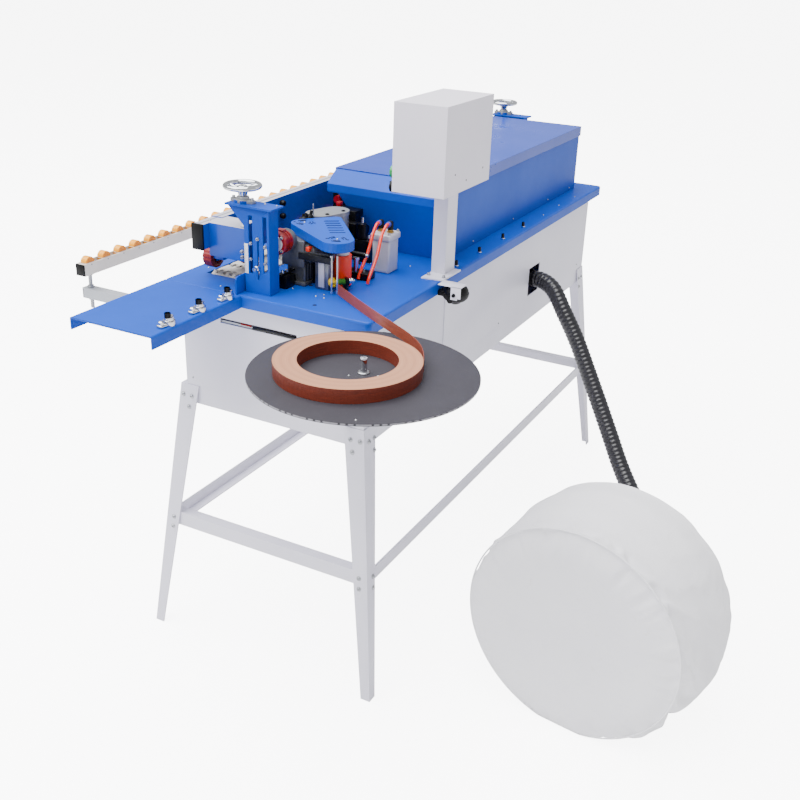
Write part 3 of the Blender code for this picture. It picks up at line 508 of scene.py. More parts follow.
def addStudio():
    world = bpy.data.worlds.new("studioWorld")
    bpy.context.scene.world = world
    world.use_nodes = True
    sky = world.node_tree.nodes["Background"]
    sky.inputs["Color"].default_value = (0.96, 0.97, 1.0, 1.0)
    seen = world.node_tree.nodes.new("ShaderNodeLightPath")
    level = world.node_tree.nodes.new("ShaderNodeMapRange")
    world.node_tree.links.new(seen.outputs["Is Camera Ray"], level.inputs["Value"])
    level.inputs["To Min"].default_value = studio["world"]
    level.inputs["To Max"].default_value = studio["glow"]
    world.node_tree.links.new(level.outputs["Result"], sky.inputs["Strength"])
    addLight("keyLight", studio["keyPlace"], studio["keyAim"], studio["keySize"], studio["keyPower"])
    addLight("fillLight", studio["fillPlace"], studio["fillAim"], studio["fillSize"], studio["fillPower"])
    deselectAll()
    bpy.ops.mesh.primitive_plane_add(size=80, location=(0, 0, 0))
    floor = settle(named("floor"))
    material, tree, shader, place, texture = startMaterial("floorPaint", 0.5, 60)
    tree.links.new(spread(tree, texture.outputs["Mottle"], 0.62, 0.7), shader.inputs["Roughness"])
    shader.inputs["Base Color"].default_value = (0.93, 0.93, 0.94, 1)
    shader.inputs["Emission Color"].default_value = (1, 1, 1, 1)
    seen = tree.nodes.new("ShaderNodeLightPath")
    glow = tree.nodes.new("ShaderNodeMath")
    glow.operation = "MULTIPLY"
    tree.links.new(seen.outputs["Is Camera Ray"], glow.inputs[0])
    glow.inputs[1].default_value = studio["glow"]
    tree.links.new(glow.outputs[0], shader.inputs["Emission Strength"])
    floor.data.materials.append(material)


addCamera()
addStudio()
print("camera and studio ready")


# ---- dust hose and bag ----

bag = {"foot": (0.079, -0.471), "radius": 0.247, "length": 0.3, "turn": -8.0, "around": 200,
       "shape": ((0.0, 1.0), (0.03, 1.018), (0.12, 1.055), (0.35, 1.095), (0.6, 1.105), (0.85, 1.07),
                 (0.95, 0.98), (1.0, 0.82)),
       "swell": 0.016, "frames": 16}
hose = {"radius": 0.0217, "rib": 0.0018, "pitch": 0.0118, "length": 1.071, "diameter": 0.045,
        "route": ((0.957, 0.004, 0.722), (0.952, -0.03, 0.722), (0.935, -0.07, 0.707),
                  (0.912, -0.112, 0.66), (0.89, -0.165, 0.592), (0.862, -0.215, 0.52),
                  (0.832, -0.265, 0.448), (0.8, -0.315, 0.376), (0.762, -0.365, 0.31),
                  (0.71, -0.425, 0.254), (0.64, -0.48, 0.225), (0.545, -0.52, 0.232))}


def bagPoint(along, sideways, height):
    turn = Matrix.Rotation(math.radians(bag["turn"]), 4, "Z")
    v = turn @ Vector((along, sideways, 0))
    return at(bag["foot"][0] + v.x, bag["foot"][1] + v.y, height)


def ribbed(route, radius, rib, pitch, perRib=5):
    # points close enough together to carry the ribs, with the radius at each
    length = sum((b - a).length for a, b in zip(route, route[1:]))
    count = int(length / pitch) * perRib
    path = smoothRoute(route, count)
    radii = [radius + rib * (0.5 + 0.5 * math.cos(2 * math.pi * i / perRib)) ** 0.7 for i in range(count)]
    return path, radii


def makeHose():
    ends = [bagPoint(bag["length"] + 0.0625, 0, bag["radius"]), bagPoint(bag["length"] + 0.0025, 0,
            bag["radius"])]
    route = smoothRoute([at(*p) for p in hose["route"]] + ends, 48)
    path, radii = ribbed(route, hose["radius"], hose["rib"], hose["pitch"])
    piece = dress(tubeAlong("corrugatedHose", path, radii, 20), mats["hoseBlack"], "machine", 60)
    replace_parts(piece, "dust_hose")

    # a smooth tail inside the cabinet, a cuff and a worm clamp at the bag
    inner = spinPiece("hoseTail", [(0.0195, -0.002), (0.0212, -0.002), (0.0212, 0.085), (0.0195, 0.085),
                                   (0.0195, -0.002)], at(0.957, 0.004, 0.722), "Y", 28)
    dress(inner, mats["blackMoulding"])
    last, before = path[-1], path[-24]
    way = (before - last).normalized()
    cuff = turned("hoseCuff", [(0.0238, 0.004), (0.0252, 0.004), (0.0256, 0.01), (0.025, 0.046),
                               (0.024, 0.058), (0.0236, 0.058), (0.0238, 0.004)], 32)
    cuff.data.transform(Matrix.Translation(last) @ aimed(way))
    dress(cuff, mats["blackMoulding"])
    band = turned("clampBand", [(0.0262, 0.026), (0.027, 0.026), (0.027, 0.038), (0.0262, 0.038),
                                (0.0262, 0.026)], 40)
    lug = roundEdges(addBlock("clampLug", (0.024, -0.006, 0.027), (0.033, 0.006, 0.037)), 0.0012)
    screw = spinPiece("clampScrew", [(0.0, -0.013), (0.0035, -0.013), (0.0035, -0.008), (0.0024, -0.008),
                                     (0.0024, 0.01), (0.0, 0.01)], (0.03, 0, 0.032), "Y", 12)
    clamp = joined([band, lug, screw], "hoseClamp")
    clamp.data.transform(Matrix.Translation(last) @ aimed(way))
    dress(clamp, mats["zinc"])


def bagRadius(t):
    shape = bag["shape"]
    for (t0, r0), (t1, r1) in zip(shape, shape[1:]):
        if t <= t1:
            u = (t - t0) / (t1 - t0)
            u = u * u * (3 - 2 * u)
            return (r0 + (r1 - r0) * u) * bag["radius"]
    return shape[-1][1] * bag["radius"]


def bagRings():
    # (distance along, radius) from the middle of the round end to the neck
    rings = [(-0.002, bag["radius"] * k) for k in (0.12, 0.24, 0.36, 0.48, 0.58, 0.68, 0.77, 0.85, 0.91,
                                                   0.955, 0.985)]
    rings += [(0.0, bag["radius"])]
    steps = 56
    for i in range(1, steps + 1):
        t = i / steps
        rings.append((bag["length"] * t, bagRadius(t)))
    end = bagRadius(1.0)
    for k, out in ((0.86, 0.004), (0.72, 0.007), (0.58, 0.009), (0.45, 0.01), (0.33, 0.0105), (0.24, 0.012),
                   (0.175, 0.018)):
        rings.append((bag["length"] + out, end * k))
    rings += [(bag["length"] + 0.028, 0.0262), (bag["length"] + 0.04, 0.0262),
              (bag["length"] + 0.052, 0.029)]
    return rings


def makeBag():
    rings = bagRings()
    n = bag["around"]
    verts, faces = [bagPoint(-0.002, 0, bag["radius"])], []
    for along, radius in rings:
        for i in range(n):
            a = 2 * math.pi * i / n
            height = max(0.0012, bag["radius"] + radius * math.sin(a))
            verts.append(bagPoint(along, radius * math.cos(a), height))
    for i in range(n):
        faces.append((0, 1 + (i + 1) % n, 1 + i))
    for j in range(len(rings) - 1):
        for i in range(n):
            a, b = 1 + j * n + i, 1 + j * n + (i + 1) % n
            faces.append((a, b, b + n, a + n))
    mesh = bpy.data.meshes.new("clothBag")
    mesh.from_pydata(verts, [], faces)
    piece = bpy.data.objects.new("clothBag", mesh)
    bpy.context.scene.collection.objects.link(piece)
    only(piece)
    bpy.ops.object.mode_set(mode="EDIT")
    bpy.ops.mesh.select_all(action="SELECT")
    bpy.ops.mesh.normals_make_consistent(inside=False)
    done(piece)
    start = [v.co.copy() for v in mesh.vertices]

    # small random folds give the cloth somewhere to buckle
    axis = (bagPoint(1, 0, 0) - bagPoint(0, 0, 0)).normalized()
    for v, co in zip(mesh.vertices, start):
        if co.z > 0.004:
            along = (co - bagPoint(0, 0, bag["radius"])).dot(axis)
            if along < 0.001:
                v.co += v.normal * 0.0035 * noise.noise(co * 7)
            elif along < bag["length"] * 1.03:
                ridge = 1 - abs(noise.noise(co * 15 + Vector((3, 1, 7)))) * 2.6
                fold = 1 - abs(noise.noise(co * 34)) * 2.4
                v.co += v.normal * (0.006 * max(0.0, ridge) + 0.0026 * max(0.0, fold) - 0.002)
    rim = 12
    pins = piece.vertex_groups.new(name="held")
    held = [i for i, co in enumerate(start) if co.z < 0.004]
    held += list(range(1 + (len(rings) - 3) * n, 1 + len(rings) * n))
    pins.add(held, 1.0, "REPLACE")
    pins.add([1 + (rim - 1) * n + i for i in range(n)], 0.55, "REPLACE")
    cloth = piece.modifiers.new("air", "CLOTH")
    cloth.settings.quality = 6
    cloth.settings.mass = 0.25
    cloth.settings.tension_stiffness = 18
    cloth.settings.compression_stiffness = 18
    cloth.settings.shear_stiffness = 6
    cloth.settings.bending_stiffness = 0.12
    cloth.settings.shrink_min = -0.045
    cloth.settings.use_pressure = True
    cloth.settings.uniform_pressure_force = 3.2
    cloth.settings.vertex_group_mass = "held"
    cloth.settings.effector_weights.gravity = 0.15
    cloth.collision_settings.use_collision = False
    scene = bpy.context.scene
    cloth.point_cache.frame_start, cloth.point_cache.frame_end = 1, bag["frames"] + 4
    for frameNumber in range(1, bag["frames"] + 1):
        scene.frame_set(frameNumber)
    only(piece)
    bpy.ops.object.modifier_apply(modifier=cloth.name)
    scene.frame_set(1)
    limit = bag["swell"]
    for v, co in zip(piece.data.vertices, start):
        move = v.co - co
        if move.length > limit:
            v.co = co + move * (limit / move.length)
        v.co.z = max(v.co.z, 0.0008)

    # the seam stands up as a thin folded rim, puckered where it is sewn
    centre = bagPoint(0, 0, bag["radius"])
    random.seed(11)
    for i in range(n):
        v = piece.data.vertices[1 + (rim - 1) * n + i]
        out = (start[1 + (rim - 1) * n + i] - centre).normalized()
        pucker = 0.0035 + 0.0022 * math.sin(i * 1.9) + 0.0012 * random.random()
        if v.co.z > 0.004:
            v.co += out * pucker - axis * 0.002
    useModifier(piece, "SUBSURF", levels=1, render_levels=1)
    for v in piece.data.vertices:
        v.co.z = max(v.co.z, 0.0006)
    dress(piece, mats["bagCloth"], "machine", 70)
    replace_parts(piece, "dust_bag")

    # the sewn rim, a rolled hem
    edge = []
    seam = bag["radius"] + 0.0028
    for i in range(121):
        a = 2 * math.pi * i / 120
        edge.append(bagPoint(-0.0025, seam * math.cos(a), max(0.0022, bag["radius"] + seam * math.sin(a))))
    hem = tubeAlong("bagHem", edge, [0.0019] * len(edge), 8)
    dress(hem, mats["bagCloth"], "machine", 70)


def bagMaterial():
    # thin non-woven cloth: pressed fibres, slight dirt specks scattered over it, broad creases in the bump
    material, tree, shader, place, texture = startMaterial("bagCloth", 3.2, 900)
    colour = mottled(tree, texture, "fbfafd", "f1f0f5")
    fibre = linked(tree, "ShaderNodeTexNoise", Vector=place.outputs["Object"], Scale=240.0)
    fibre.inputs["Detail"].default_value = 6.0
    specks = linked(tree, "ShaderNodeTexNoise", Vector=place.outputs["Object"], Scale=55.0)
    specks.inputs["Detail"].default_value = 3.0
    dirt = tree.nodes.new("ShaderNodeMapRange")
    tree.links.new(specks.outputs[0], dirt.inputs["Value"])
    for label, value in (("From Min", 0.66), ("From Max", 0.8), ("To Min", 0.0), ("To Max", 0.35)):
        dirt.inputs[label].default_value = value
    tree.links.new(blendColour(tree, dirt.outputs["Result"], colour, srgb("dfd9d5")),
                   shader.inputs["Base Color"])
    tree.links.new(spread(tree, fibre.outputs[0], 0.72, 0.88), shader.inputs["Roughness"])
    shader.inputs["Sheen Weight"].default_value = 0.25
    shader.inputs["Sheen Roughness"].default_value = 0.5
    shader.inputs["Subsurface Weight"].default_value = 0.08
    shader.inputs["Subsurface Radius"].default_value = (0.02, 0.02, 0.02)
    creases = linked(tree, "ShaderNodeTexNoise", Vector=place.outputs["Object"], Scale=22.0)
    creases.inputs["Detail"].default_value = 7.0
    creases.inputs["Distortion"].default_value = 1.4
    big = linked(tree, "ShaderNodeBump", Strength=0.3, Distance=0.006, Height=creases.outputs[0])
    small = linked(tree, "ShaderNodeBump", Strength=0.25, Distance=0.0006, Height=fibre.outputs[0],
                   Normal=big.outputs[0])
    tree.links.new(small.outputs[0], shader.inputs["Normal"])
    return material


mats["bagCloth"] = bagMaterial()
mats["hoseBlack"] = finish("hoseBlack", "1c1b21", "131217", rough=(0.26, 0.36), coat=0.2, mottle=30,
                           grain=900, bump=0.08)
makeHose()
makeBag()
print("hose and bag ready")


# ---- finishes for the frame's own parts ----

def reelMaterial():
    # matt sheet with pale dust specks; the pale rim round its edge is a separate piece in a
    # painted-highlight finish
    material, tree, shader, place, texture = startMaterial("reelSheet", 9, 1300)
    colour = mottled(tree, texture, "302e36", "28262e")
    dots = linked(tree, "ShaderNodeTexVoronoi", Vector=place.outputs["Object"], Scale=95.0)
    speck = tree.nodes.new("ShaderNodeMapRange")
    tree.links.new(dots.outputs["Distance"], speck.inputs["Value"])
    for label, value in (("From Min", 0.035), ("From Max", 0.06), ("To Min", 0.35), ("To Max", 0.0)):
        speck.inputs[label].default_value = value
    tree.links.new(blendColour(tree, speck.outputs["Result"], colour, srgb("8d8a90")),
                   shader.inputs["Base Color"])
    tree.links.new(spread(tree, texture.outputs["Grain"], 0.52, 0.66), shader.inputs["Roughness"])
    skin = linked(tree, "ShaderNodeBump", Strength=0.2, Distance=0.0003, Height=texture.outputs["Height"])
    tree.links.new(skin.outputs[0], shader.inputs["Normal"])
    return material


def rollMaterial(name, face, faceShade, side, sideShade, centre):
    # wound tape: fine rings on the flat faces, long fibres round the band
    material, tree, shader, place, texture = startMaterial(name, 18, 900)
    shift = tree.nodes.new("ShaderNodeVectorMath")
    shift.operation = "SUBTRACT"
    tree.links.new(place.outputs["Object"], shift.inputs[0])
    shift.inputs[1].default_value = centre
    split = linked(tree, "ShaderNodeSeparateXYZ", Vector=shift.outputs[0])
    flat = tree.nodes.new("ShaderNodeCombineXYZ")
    tree.links.new(split.outputs["X"], flat.inputs["X"])
    tree.links.new(split.outputs["Y"], flat.inputs["Y"])
    radius = tree.nodes.new("ShaderNodeVectorMath")
    radius.operation = "LENGTH"
    tree.links.new(flat.outputs[0], radius.inputs[0])
    rings = tree.nodes.new("ShaderNodeTexNoise")
    rings.noise_dimensions = "1D"
    tree.links.new(radius.outputs["Value"], rings.inputs["W"])
    rings.inputs["Scale"].default_value = 900.0
    rings.inputs["Detail"].default_value = 3.0
    wide = tree.nodes.new("ShaderNodeTexNoise")
    wide.noise_dimensions = "1D"
    tree.links.new(radius.outputs["Value"], wide.inputs["W"])
    wide.inputs["Scale"].default_value = 130.0
    fibre = linked(tree, "ShaderNodeMapping", Vector=shift.outputs[0])
    fibre.inputs["Scale"].default_value = (40, 40, 1400)
    grain = linked(tree, "ShaderNodeTexNoise", Vector=fibre.outputs[0], Scale=1.0)
    grain.inputs["Detail"].default_value = 4.0
    ringTint = blendColour(tree, spread(tree, rings.outputs[0], 0, 1), srgb(face), srgb(faceShade))
    ringTint = blendColour(tree, spread(tree, wide.outputs[0], 0, 0.5), ringTint, srgb(faceShade))
    sideTint = blendColour(tree, spread(tree, grain.outputs[0], 0, 1), srgb(side), srgb(sideShade))
    geometry = tree.nodes.new("ShaderNodeNewGeometry")
    normal = linked(tree, "ShaderNodeSeparateXYZ", Vector=geometry.outputs["True Normal"])
    lie = tree.nodes.new("ShaderNodeMath")
    lie.operation = "ABSOLUTE"
    tree.links.new(normal.outputs["Z"], lie.inputs[0])
    top = tree.nodes.new("ShaderNodeMath")
    top.operation = "GREATER_THAN"
    tree.links.new(lie.outputs[0], top.inputs[0])
    top.inputs[1].default_value = 0.6
    tree.links.new(blendColour(tree, top.outputs[0], sideTint, ringTint), shader.inputs["Base Color"])
    tree.links.new(spread(tree, texture.outputs["Mottle"], 0.42, 0.55), shader.inputs["Roughness"])
    height = blendColour(tree, top.outputs[0], grain.outputs[0], rings.outputs[0])
    skin = linked(tree, "ShaderNodeBump", Strength=0.35, Distance=0.0005, Height=height)
    tree.links.new(skin.outputs[0], shader.inputs["Normal"])
    return material


rollLow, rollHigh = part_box("tape_roll")
mats["reelSheet"] = reelMaterial()
mats["tapeRoll"] = rollMaterial("tapeRoll", "c8906e", "a87456", "7a2a12", "561a08",
                                ((rollLow[0] + rollHigh[0]) / 2, (rollLow[1] + rollHigh[1]) / 2,
                                 rollLow[2]))
mats["tapeStrip"] = rollMaterial("tapeStrip", "9a4a30", "863a22", "9a4a30", "7a3320", (0, 0, 0))

nodeFinish = {"whiteCoat": ("leg_infeed_rear", "leg_infeed_front", "leg_outfeed_rear", "leg_outfeed_front",
                            "top_frame", "stretcher_infeed", "stretcher_outfeed", "stretcher_rear",
                            "stretcher_front", "cabinet", "side_panel", "box_column", "reel_arm"),
              "boxCoat": ("electric_box",), "blueCoat": ("table_top", "infeed_table", "guide_fence",
        "infeed_column", "outfeed_column", "belt_guard", "hood_body"), "lidCoat": ("hood_lid",),
              "beamCoat": ("pressure_beam",), "chrome": ("infeed_handwheel", "outfeed_handwheel"),
              "redRubber": ("pressure_roller_1", "pressure_roller_2", "pressure_roller_3",
                            "pressure_roller_4"), "padRubber": ("feed_chain",), "zinc": ("drive_sprocket",),
              "darkCast": ("trim_unit",), "gearGrey": ("gearbox",), "redMotor": ("glue_motor",),
              "orangeRoller": ("press_roller",), "steelBlock": ("tape_guide_block",),
              "yellowMoulding": ("tape_guide_knob",), "castGrey": ("glue_pot", "pot_lid"),
              "paleCast": ("air_cylinder",), "reelSheet": ("reel_disc",), "tapeRoll": ("tape_roll",),
              "tapeStrip": ("tape_strip",), "greenMoulding": ("green_button",),
              "blackMoulding": ("control_knob", "air_regulator"), "railPaint": ("rail_tube",),
              "armCoat": ("rail_arm_infeed", "rail_arm_outfeed"),
              "orangeMoulding": tuple("rail_wheel_%02d" % k for k in (1, 5, 9, 13, 17, 21, 25)),
              "airTube": ("air_hose_a", "air_hose_b"),}


def beamMaterial():
    # blue sheet with painted light: the top and upper back faces are painted pale as a painted highlight,
    # with one long grey painted shadow line down the middle of the top
    material, tree, shader, place, texture = startMaterial("beamCoat", 4, 900)
    blue = mottled(tree, texture, "004ab8", "0044ac")
    # pale colour of the painted highlight on the top and upper back faces
    paintedLightTint = mottled(tree, texture, "d2d1da", "c6c5d0")
    split = linked(tree, "ShaderNodeSeparateXYZ", Vector=place.outputs["Object"])
    geometry = tree.nodes.new("ShaderNodeNewGeometry")
    normal = linked(tree, "ShaderNodeSeparateXYZ", Vector=geometry.outputs["True Normal"])

    def step(value, edge, kind="GREATER_THAN"):
        node = tree.nodes.new("ShaderNodeMath")
        node.operation = kind
        tree.links.new(value, node.inputs[0])
        if isinstance(edge, bpy.types.NodeSocket):
            tree.links.new(edge, node.inputs[1])
        else:
            node.inputs[1].default_value = edge
        return node.outputs[0]

    # faces chosen by which way they point: the up-facing top and the upper back faces get the painted
    # highlight, and a thin middle strip of the top gets a grey painted shadow line
    top = step(step(normal.outputs["Z"], 0.7), step(split.outputs["Z"], 1.028), "MULTIPLY")
    back = step(step(normal.outputs["Y"], 0.7), step(split.outputs["Z"], 0.976), "MULTIPLY")
    highlightFaces = step(top, back, "MAXIMUM")
    middle = at(0, 0.4015, 0).y
    shadowLineMask = step(step(step(split.outputs["Y"], middle, "SUBTRACT"), 0.0, "ABSOLUTE"), 0.0028, "LESS_THAN")
    paintedLightTint = blendColour(tree, step(shadowLineMask, top, "MULTIPLY"), paintedLightTint, srgb("8f8f9a"))
    tree.links.new(blendColour(tree, highlightFaces, blue, paintedLightTint), shader.inputs["Base Color"])
    tree.links.new(spread(tree, texture.outputs["Mottle"], 0.26, 0.34), shader.inputs["Roughness"])
    shader.inputs["Coat Weight"].default_value = 0.3
    shader.inputs["Coat Roughness"].default_value = 0.1
    shader.inputs["Specular IOR Level"].default_value = 0.35
    soft = linked(tree, "ShaderNodeBevel", Radius=0.0014)
    soft.samples = 4
    skin = linked(tree, "ShaderNodeBump", Strength=0.12, Distance=0.0002, Height=texture.outputs["Height"],
                  Normal=soft.outputs[0])
    tree.links.new(skin.outputs[0], shader.inputs["Normal"])
    return material


def tubeMaterial():
    # glossy red air tube
    material, tree, shader, place, texture = startMaterial("airTube", 60, 900)
    tree.links.new(mottled(tree, texture, "f43008", "e02404"), shader.inputs["Base Color"])
    tree.links.new(spread(tree, texture.outputs["Mottle"], 0.12, 0.2), shader.inputs["Roughness"])
    shader.inputs["Coat Weight"].default_value = 0.25
    return material


mats["airTube"] = tubeMaterial()
mats["beamCoat"] = beamMaterial()
mats["lidCoat"] = finish("lidCoat", "0040b4", "003aa8", rough=(0.26, 0.34), coat=0.12, coatRough=0.04,
                         grain=900, bump=0.03, edge=0.0014)
for finishName, nodeNames in nodeFinish.items():
    for nodeName in nodeNames:
        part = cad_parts[nodeName]
        for materialSlot in part.material_slots:
            materialSlot.material = mats[finishName]
print("frame finishes set")


# ---- small hardware, each drawn once and copied ----

def scatter(source, name, spots, material, body="machine"):
    # copies of one piece, each stood on its spot along its direction, kept as one object
    pieces = []
    for i, (spot, way) in enumerate(spots):
        pieces.append(copyOf(source, name + str(i), Matrix.Translation(spot) @ aimed(way)))
    return dress(joined(pieces, name), mats[material], body)


hardware = {"domeRadius": 0.0046, "washer": 0.0058, "socketRadius": 0.003, "steps": 18}


def domeBolt(name, radius=hardware["domeRadius"], washer=hardware["washer"]):
    r = radius
    return turned(name, [(0, 0.5 * r), (0.34 * r, 0.52 * r), (0.36 * r, 0.86 * r), (0.62 * r, 0.74 * r),
                         (0.9 * r, 0.42 * r), (r, 0.16 * r), (washer, 0.14 * r), (washer, -0.0004),
                         (0, -0.0004)], hardware["steps"])


def socketBolt(name, radius=hardware["socketRadius"], height=0.0046):
    r, h = radius, height
    return turned(name, [(0, h * 0.45), (0.5 * r, h * 0.48), (0.54 * r, h), (0.88 * r, h), (r, h * 0.88),
                         (r, 0.0008), (1.25 * r, 0.0008), (1.25 * r, -0.0004), (0, -0.0004)], 16)


def hexNut(name, radius, height, hole):
    nut = addCylinder(name, (0, 0, height / 2), radius, height, "Z", 6)
    pickFaces(nut, lambda c, n: abs(n.z) > 0.9)
    inset(radius * 0.16)
    inset(max(0.0004, radius * 0.84 - hole))
    return roundEdges(done(nut), radius * 0.08, 2, 30)


dome = domeBolt("domeBolt")
tinyDome = domeBolt("tinyDome", 0.0021, 0.0026)
cap = socketBolt("capBolt")
plainCap = socketBolt("bareCap", 0.0036, 0.005)
nut = hexNut("hexNut", 0.006, 0.0046, 0.003)


# ---- stand: bolts through the legs ----

stand = {"topX": ((0.034, 0.6175), (0.01, 0.618), (0.03, 0.5905)),
         "topY": ((0.02, 0.6135), (0.043, 0.613), (0.0425, 0.586)),
         "lowX": ((0.021, 0.3), (0.0215, 0.2745)), "lowY": ((0.026, 0.2985), (0.0265, 0.271)),
         "length": 1.4, "width": 0.486, "leanX": 0.071, "leanY": 0.068, "height": 0.6447}


def legSpots():
    spots = []
    for side in (0, 1):
        for back in (0, 1):
            outX, outY = (-1, 1)[side], (-1, 1)[back]
            for along, z in stand["topX"] + stand["lowX"]:
                k = 1 - z / stand["height"]
                x = side * stand["length"] + outX * stand["leanX"] * k
                y = back * stand["width"] + outY * (stand["leanY"] * k - along)
                spots.append((at(x + outX * 0.0002, y, z), (outX, 0, 0.11)))
            for along, z in stand["topY"] + stand["lowY"]:
                k = 1 - z / stand["height"]
                x = side * stand["length"] + outX * (stand["leanX"] * k - along)
                y = back * stand["width"] + outY * stand["leanY"] * k
                spots.append((at(x, y + outY * 0.0002, z), (0, outY, 0.105)))
    return spots


scatter(dome, "legBolts", legSpots(), "zinc")


# ---- cabinet: screws, back louvres, cable and a plugged pipe end ----

cabinetFace = {"front": ((0.02, 0.868), (0.452, 0.868), (0.02, 0.664), (0.452, 0.664), (0.236, 0.868)),
               "panel": ((0.388, 0.862), (0.716, 0.862), (1.042, 0.862), (0.388, 0.663), (0.716, 0.663),
                         (1.042, 0.663)),
               "side": ((0.06, 0.868), (0.3, 0.868), (1.13, 0.868), (1.34, 0.868), (1.34, 0.664),
                        (1.13, 0.664), (0.2, 0.664))}


def dressCabinet():
    spots = [(at(0.0014, y, z), (-1, 0, 0)) for y, z in cabinetFace["front"]]
    spots += [(at(1.3986, y, z), (1, 0, 0)) for y, z in cabinetFace["front"]]
    spots += [(at(x, -0.0004, z), (0, -1, 0)) for x, z in cabinetFace["panel"]]
    spots += [(at(x, 0.0019, z), (0, -1, 0)) for x, z in cabinetFace["side"]]
    spots += [(at(x, 0.4701, z), (0, 1, 0)) for x in (0.06, 0.38, 0.7, 1.02, 1.34) for z in (0.664, 0.866)]
    scatter(tinyDome, "cabinetScrews", spots, "zinc")
    # vent louvres on the back wall, a cable and a red wire in the front slot, and the capped pipe end low
    # on the front
    slats = []
    for i in range(7):
        slat = slab("slat", (0.62, 0.4699, 0.705 + 0.016 * i), (0.78, 0.4745, 0.712 + 0.016 * i))
        pickEdges(slat, lambda m, d: abs(d.x) > 0.9 and m.y > standY + 0.472 and m.z > 0.711 + 0.016 * i)
        bpy.ops.transform.translate(value=(0, -0.004, 0))
        slats.append(roundEdges(done(slat), 0.0012))
    dress(joined(slats, "backLouvres"), mats["whiteCoat"])
    cable = [at(0.0008, y, 0.8195 + 0.0015 * math.sin(y * 60))
             for y in [0.172 + 0.004 * i for i in range(28)]]
    dress(tubeAlong("slotCable", cable, [0.0032] * len(cable), 10), mats["cableBlack"])
    red = [at(0.0055, y, 0.8205) for y in [0.286 + 0.004 * i for i in range(8)]]
    dress(tubeAlong("slotWire", red, [0.0022] * len(red), 8), mats["cableRed"])
    body = turned("pipePlug", [(0, 0.03), (0.0052, 0.03), (0.006, 0.027), (0.006, 0.018), (0.0085, 0.017),
                               (0.009, 0.004), (0.0075, 0.0), (0, 0.0)], 20)
    pointed(body, (0.0008, 0.043, 0.668), (-1, 0, 0))
    dress(body, mats["blackMoulding"])
    tip = turned("plugTip", [(0, 0.0355), (0.004, 0.035), (0.0046, 0.0325), (0.0046, 0.03), (0, 0.03)], 16)
    pointed(tip, (0.0008, 0.043, 0.668), (-1, 0, 0))
    dress(tip, mats["blueRing"])


dressCabinet()


# ---- table: clamps on the infeed edge, adjusting screws, screws and plugs ----

table = {"clamps": ((-0.25, 0.2985), (-0.1545, 0.2985), (-0.0635, 0.296)),
         "adjusters": ((0.412, -0.006), (0.543, -0.006), (0.688, -0.006), (0.825, -0.006)),
         "screws": ((0.0544, 0.1535), (0.0711, 0.1433), (0.0536, 0.1324), (0.0702, 0.2218),
                    (0.0897, 0.4621), (-0.0008, 0.3602), (1.1105, -0.0017), (0.98, -0.004), (1.24, -0.004),
                    (1.36, 0.47), (0.7, 0.47), (0.36, 0.47), (1.04, 0.47), (0.44, 0.12), (0.355, 0.085)),
         "plugs": ((0.1408, 0.2482), (0.1535, 0.2419), (0.1183, 0.2406), (0.1299, 0.2232)), "top": 0.9}


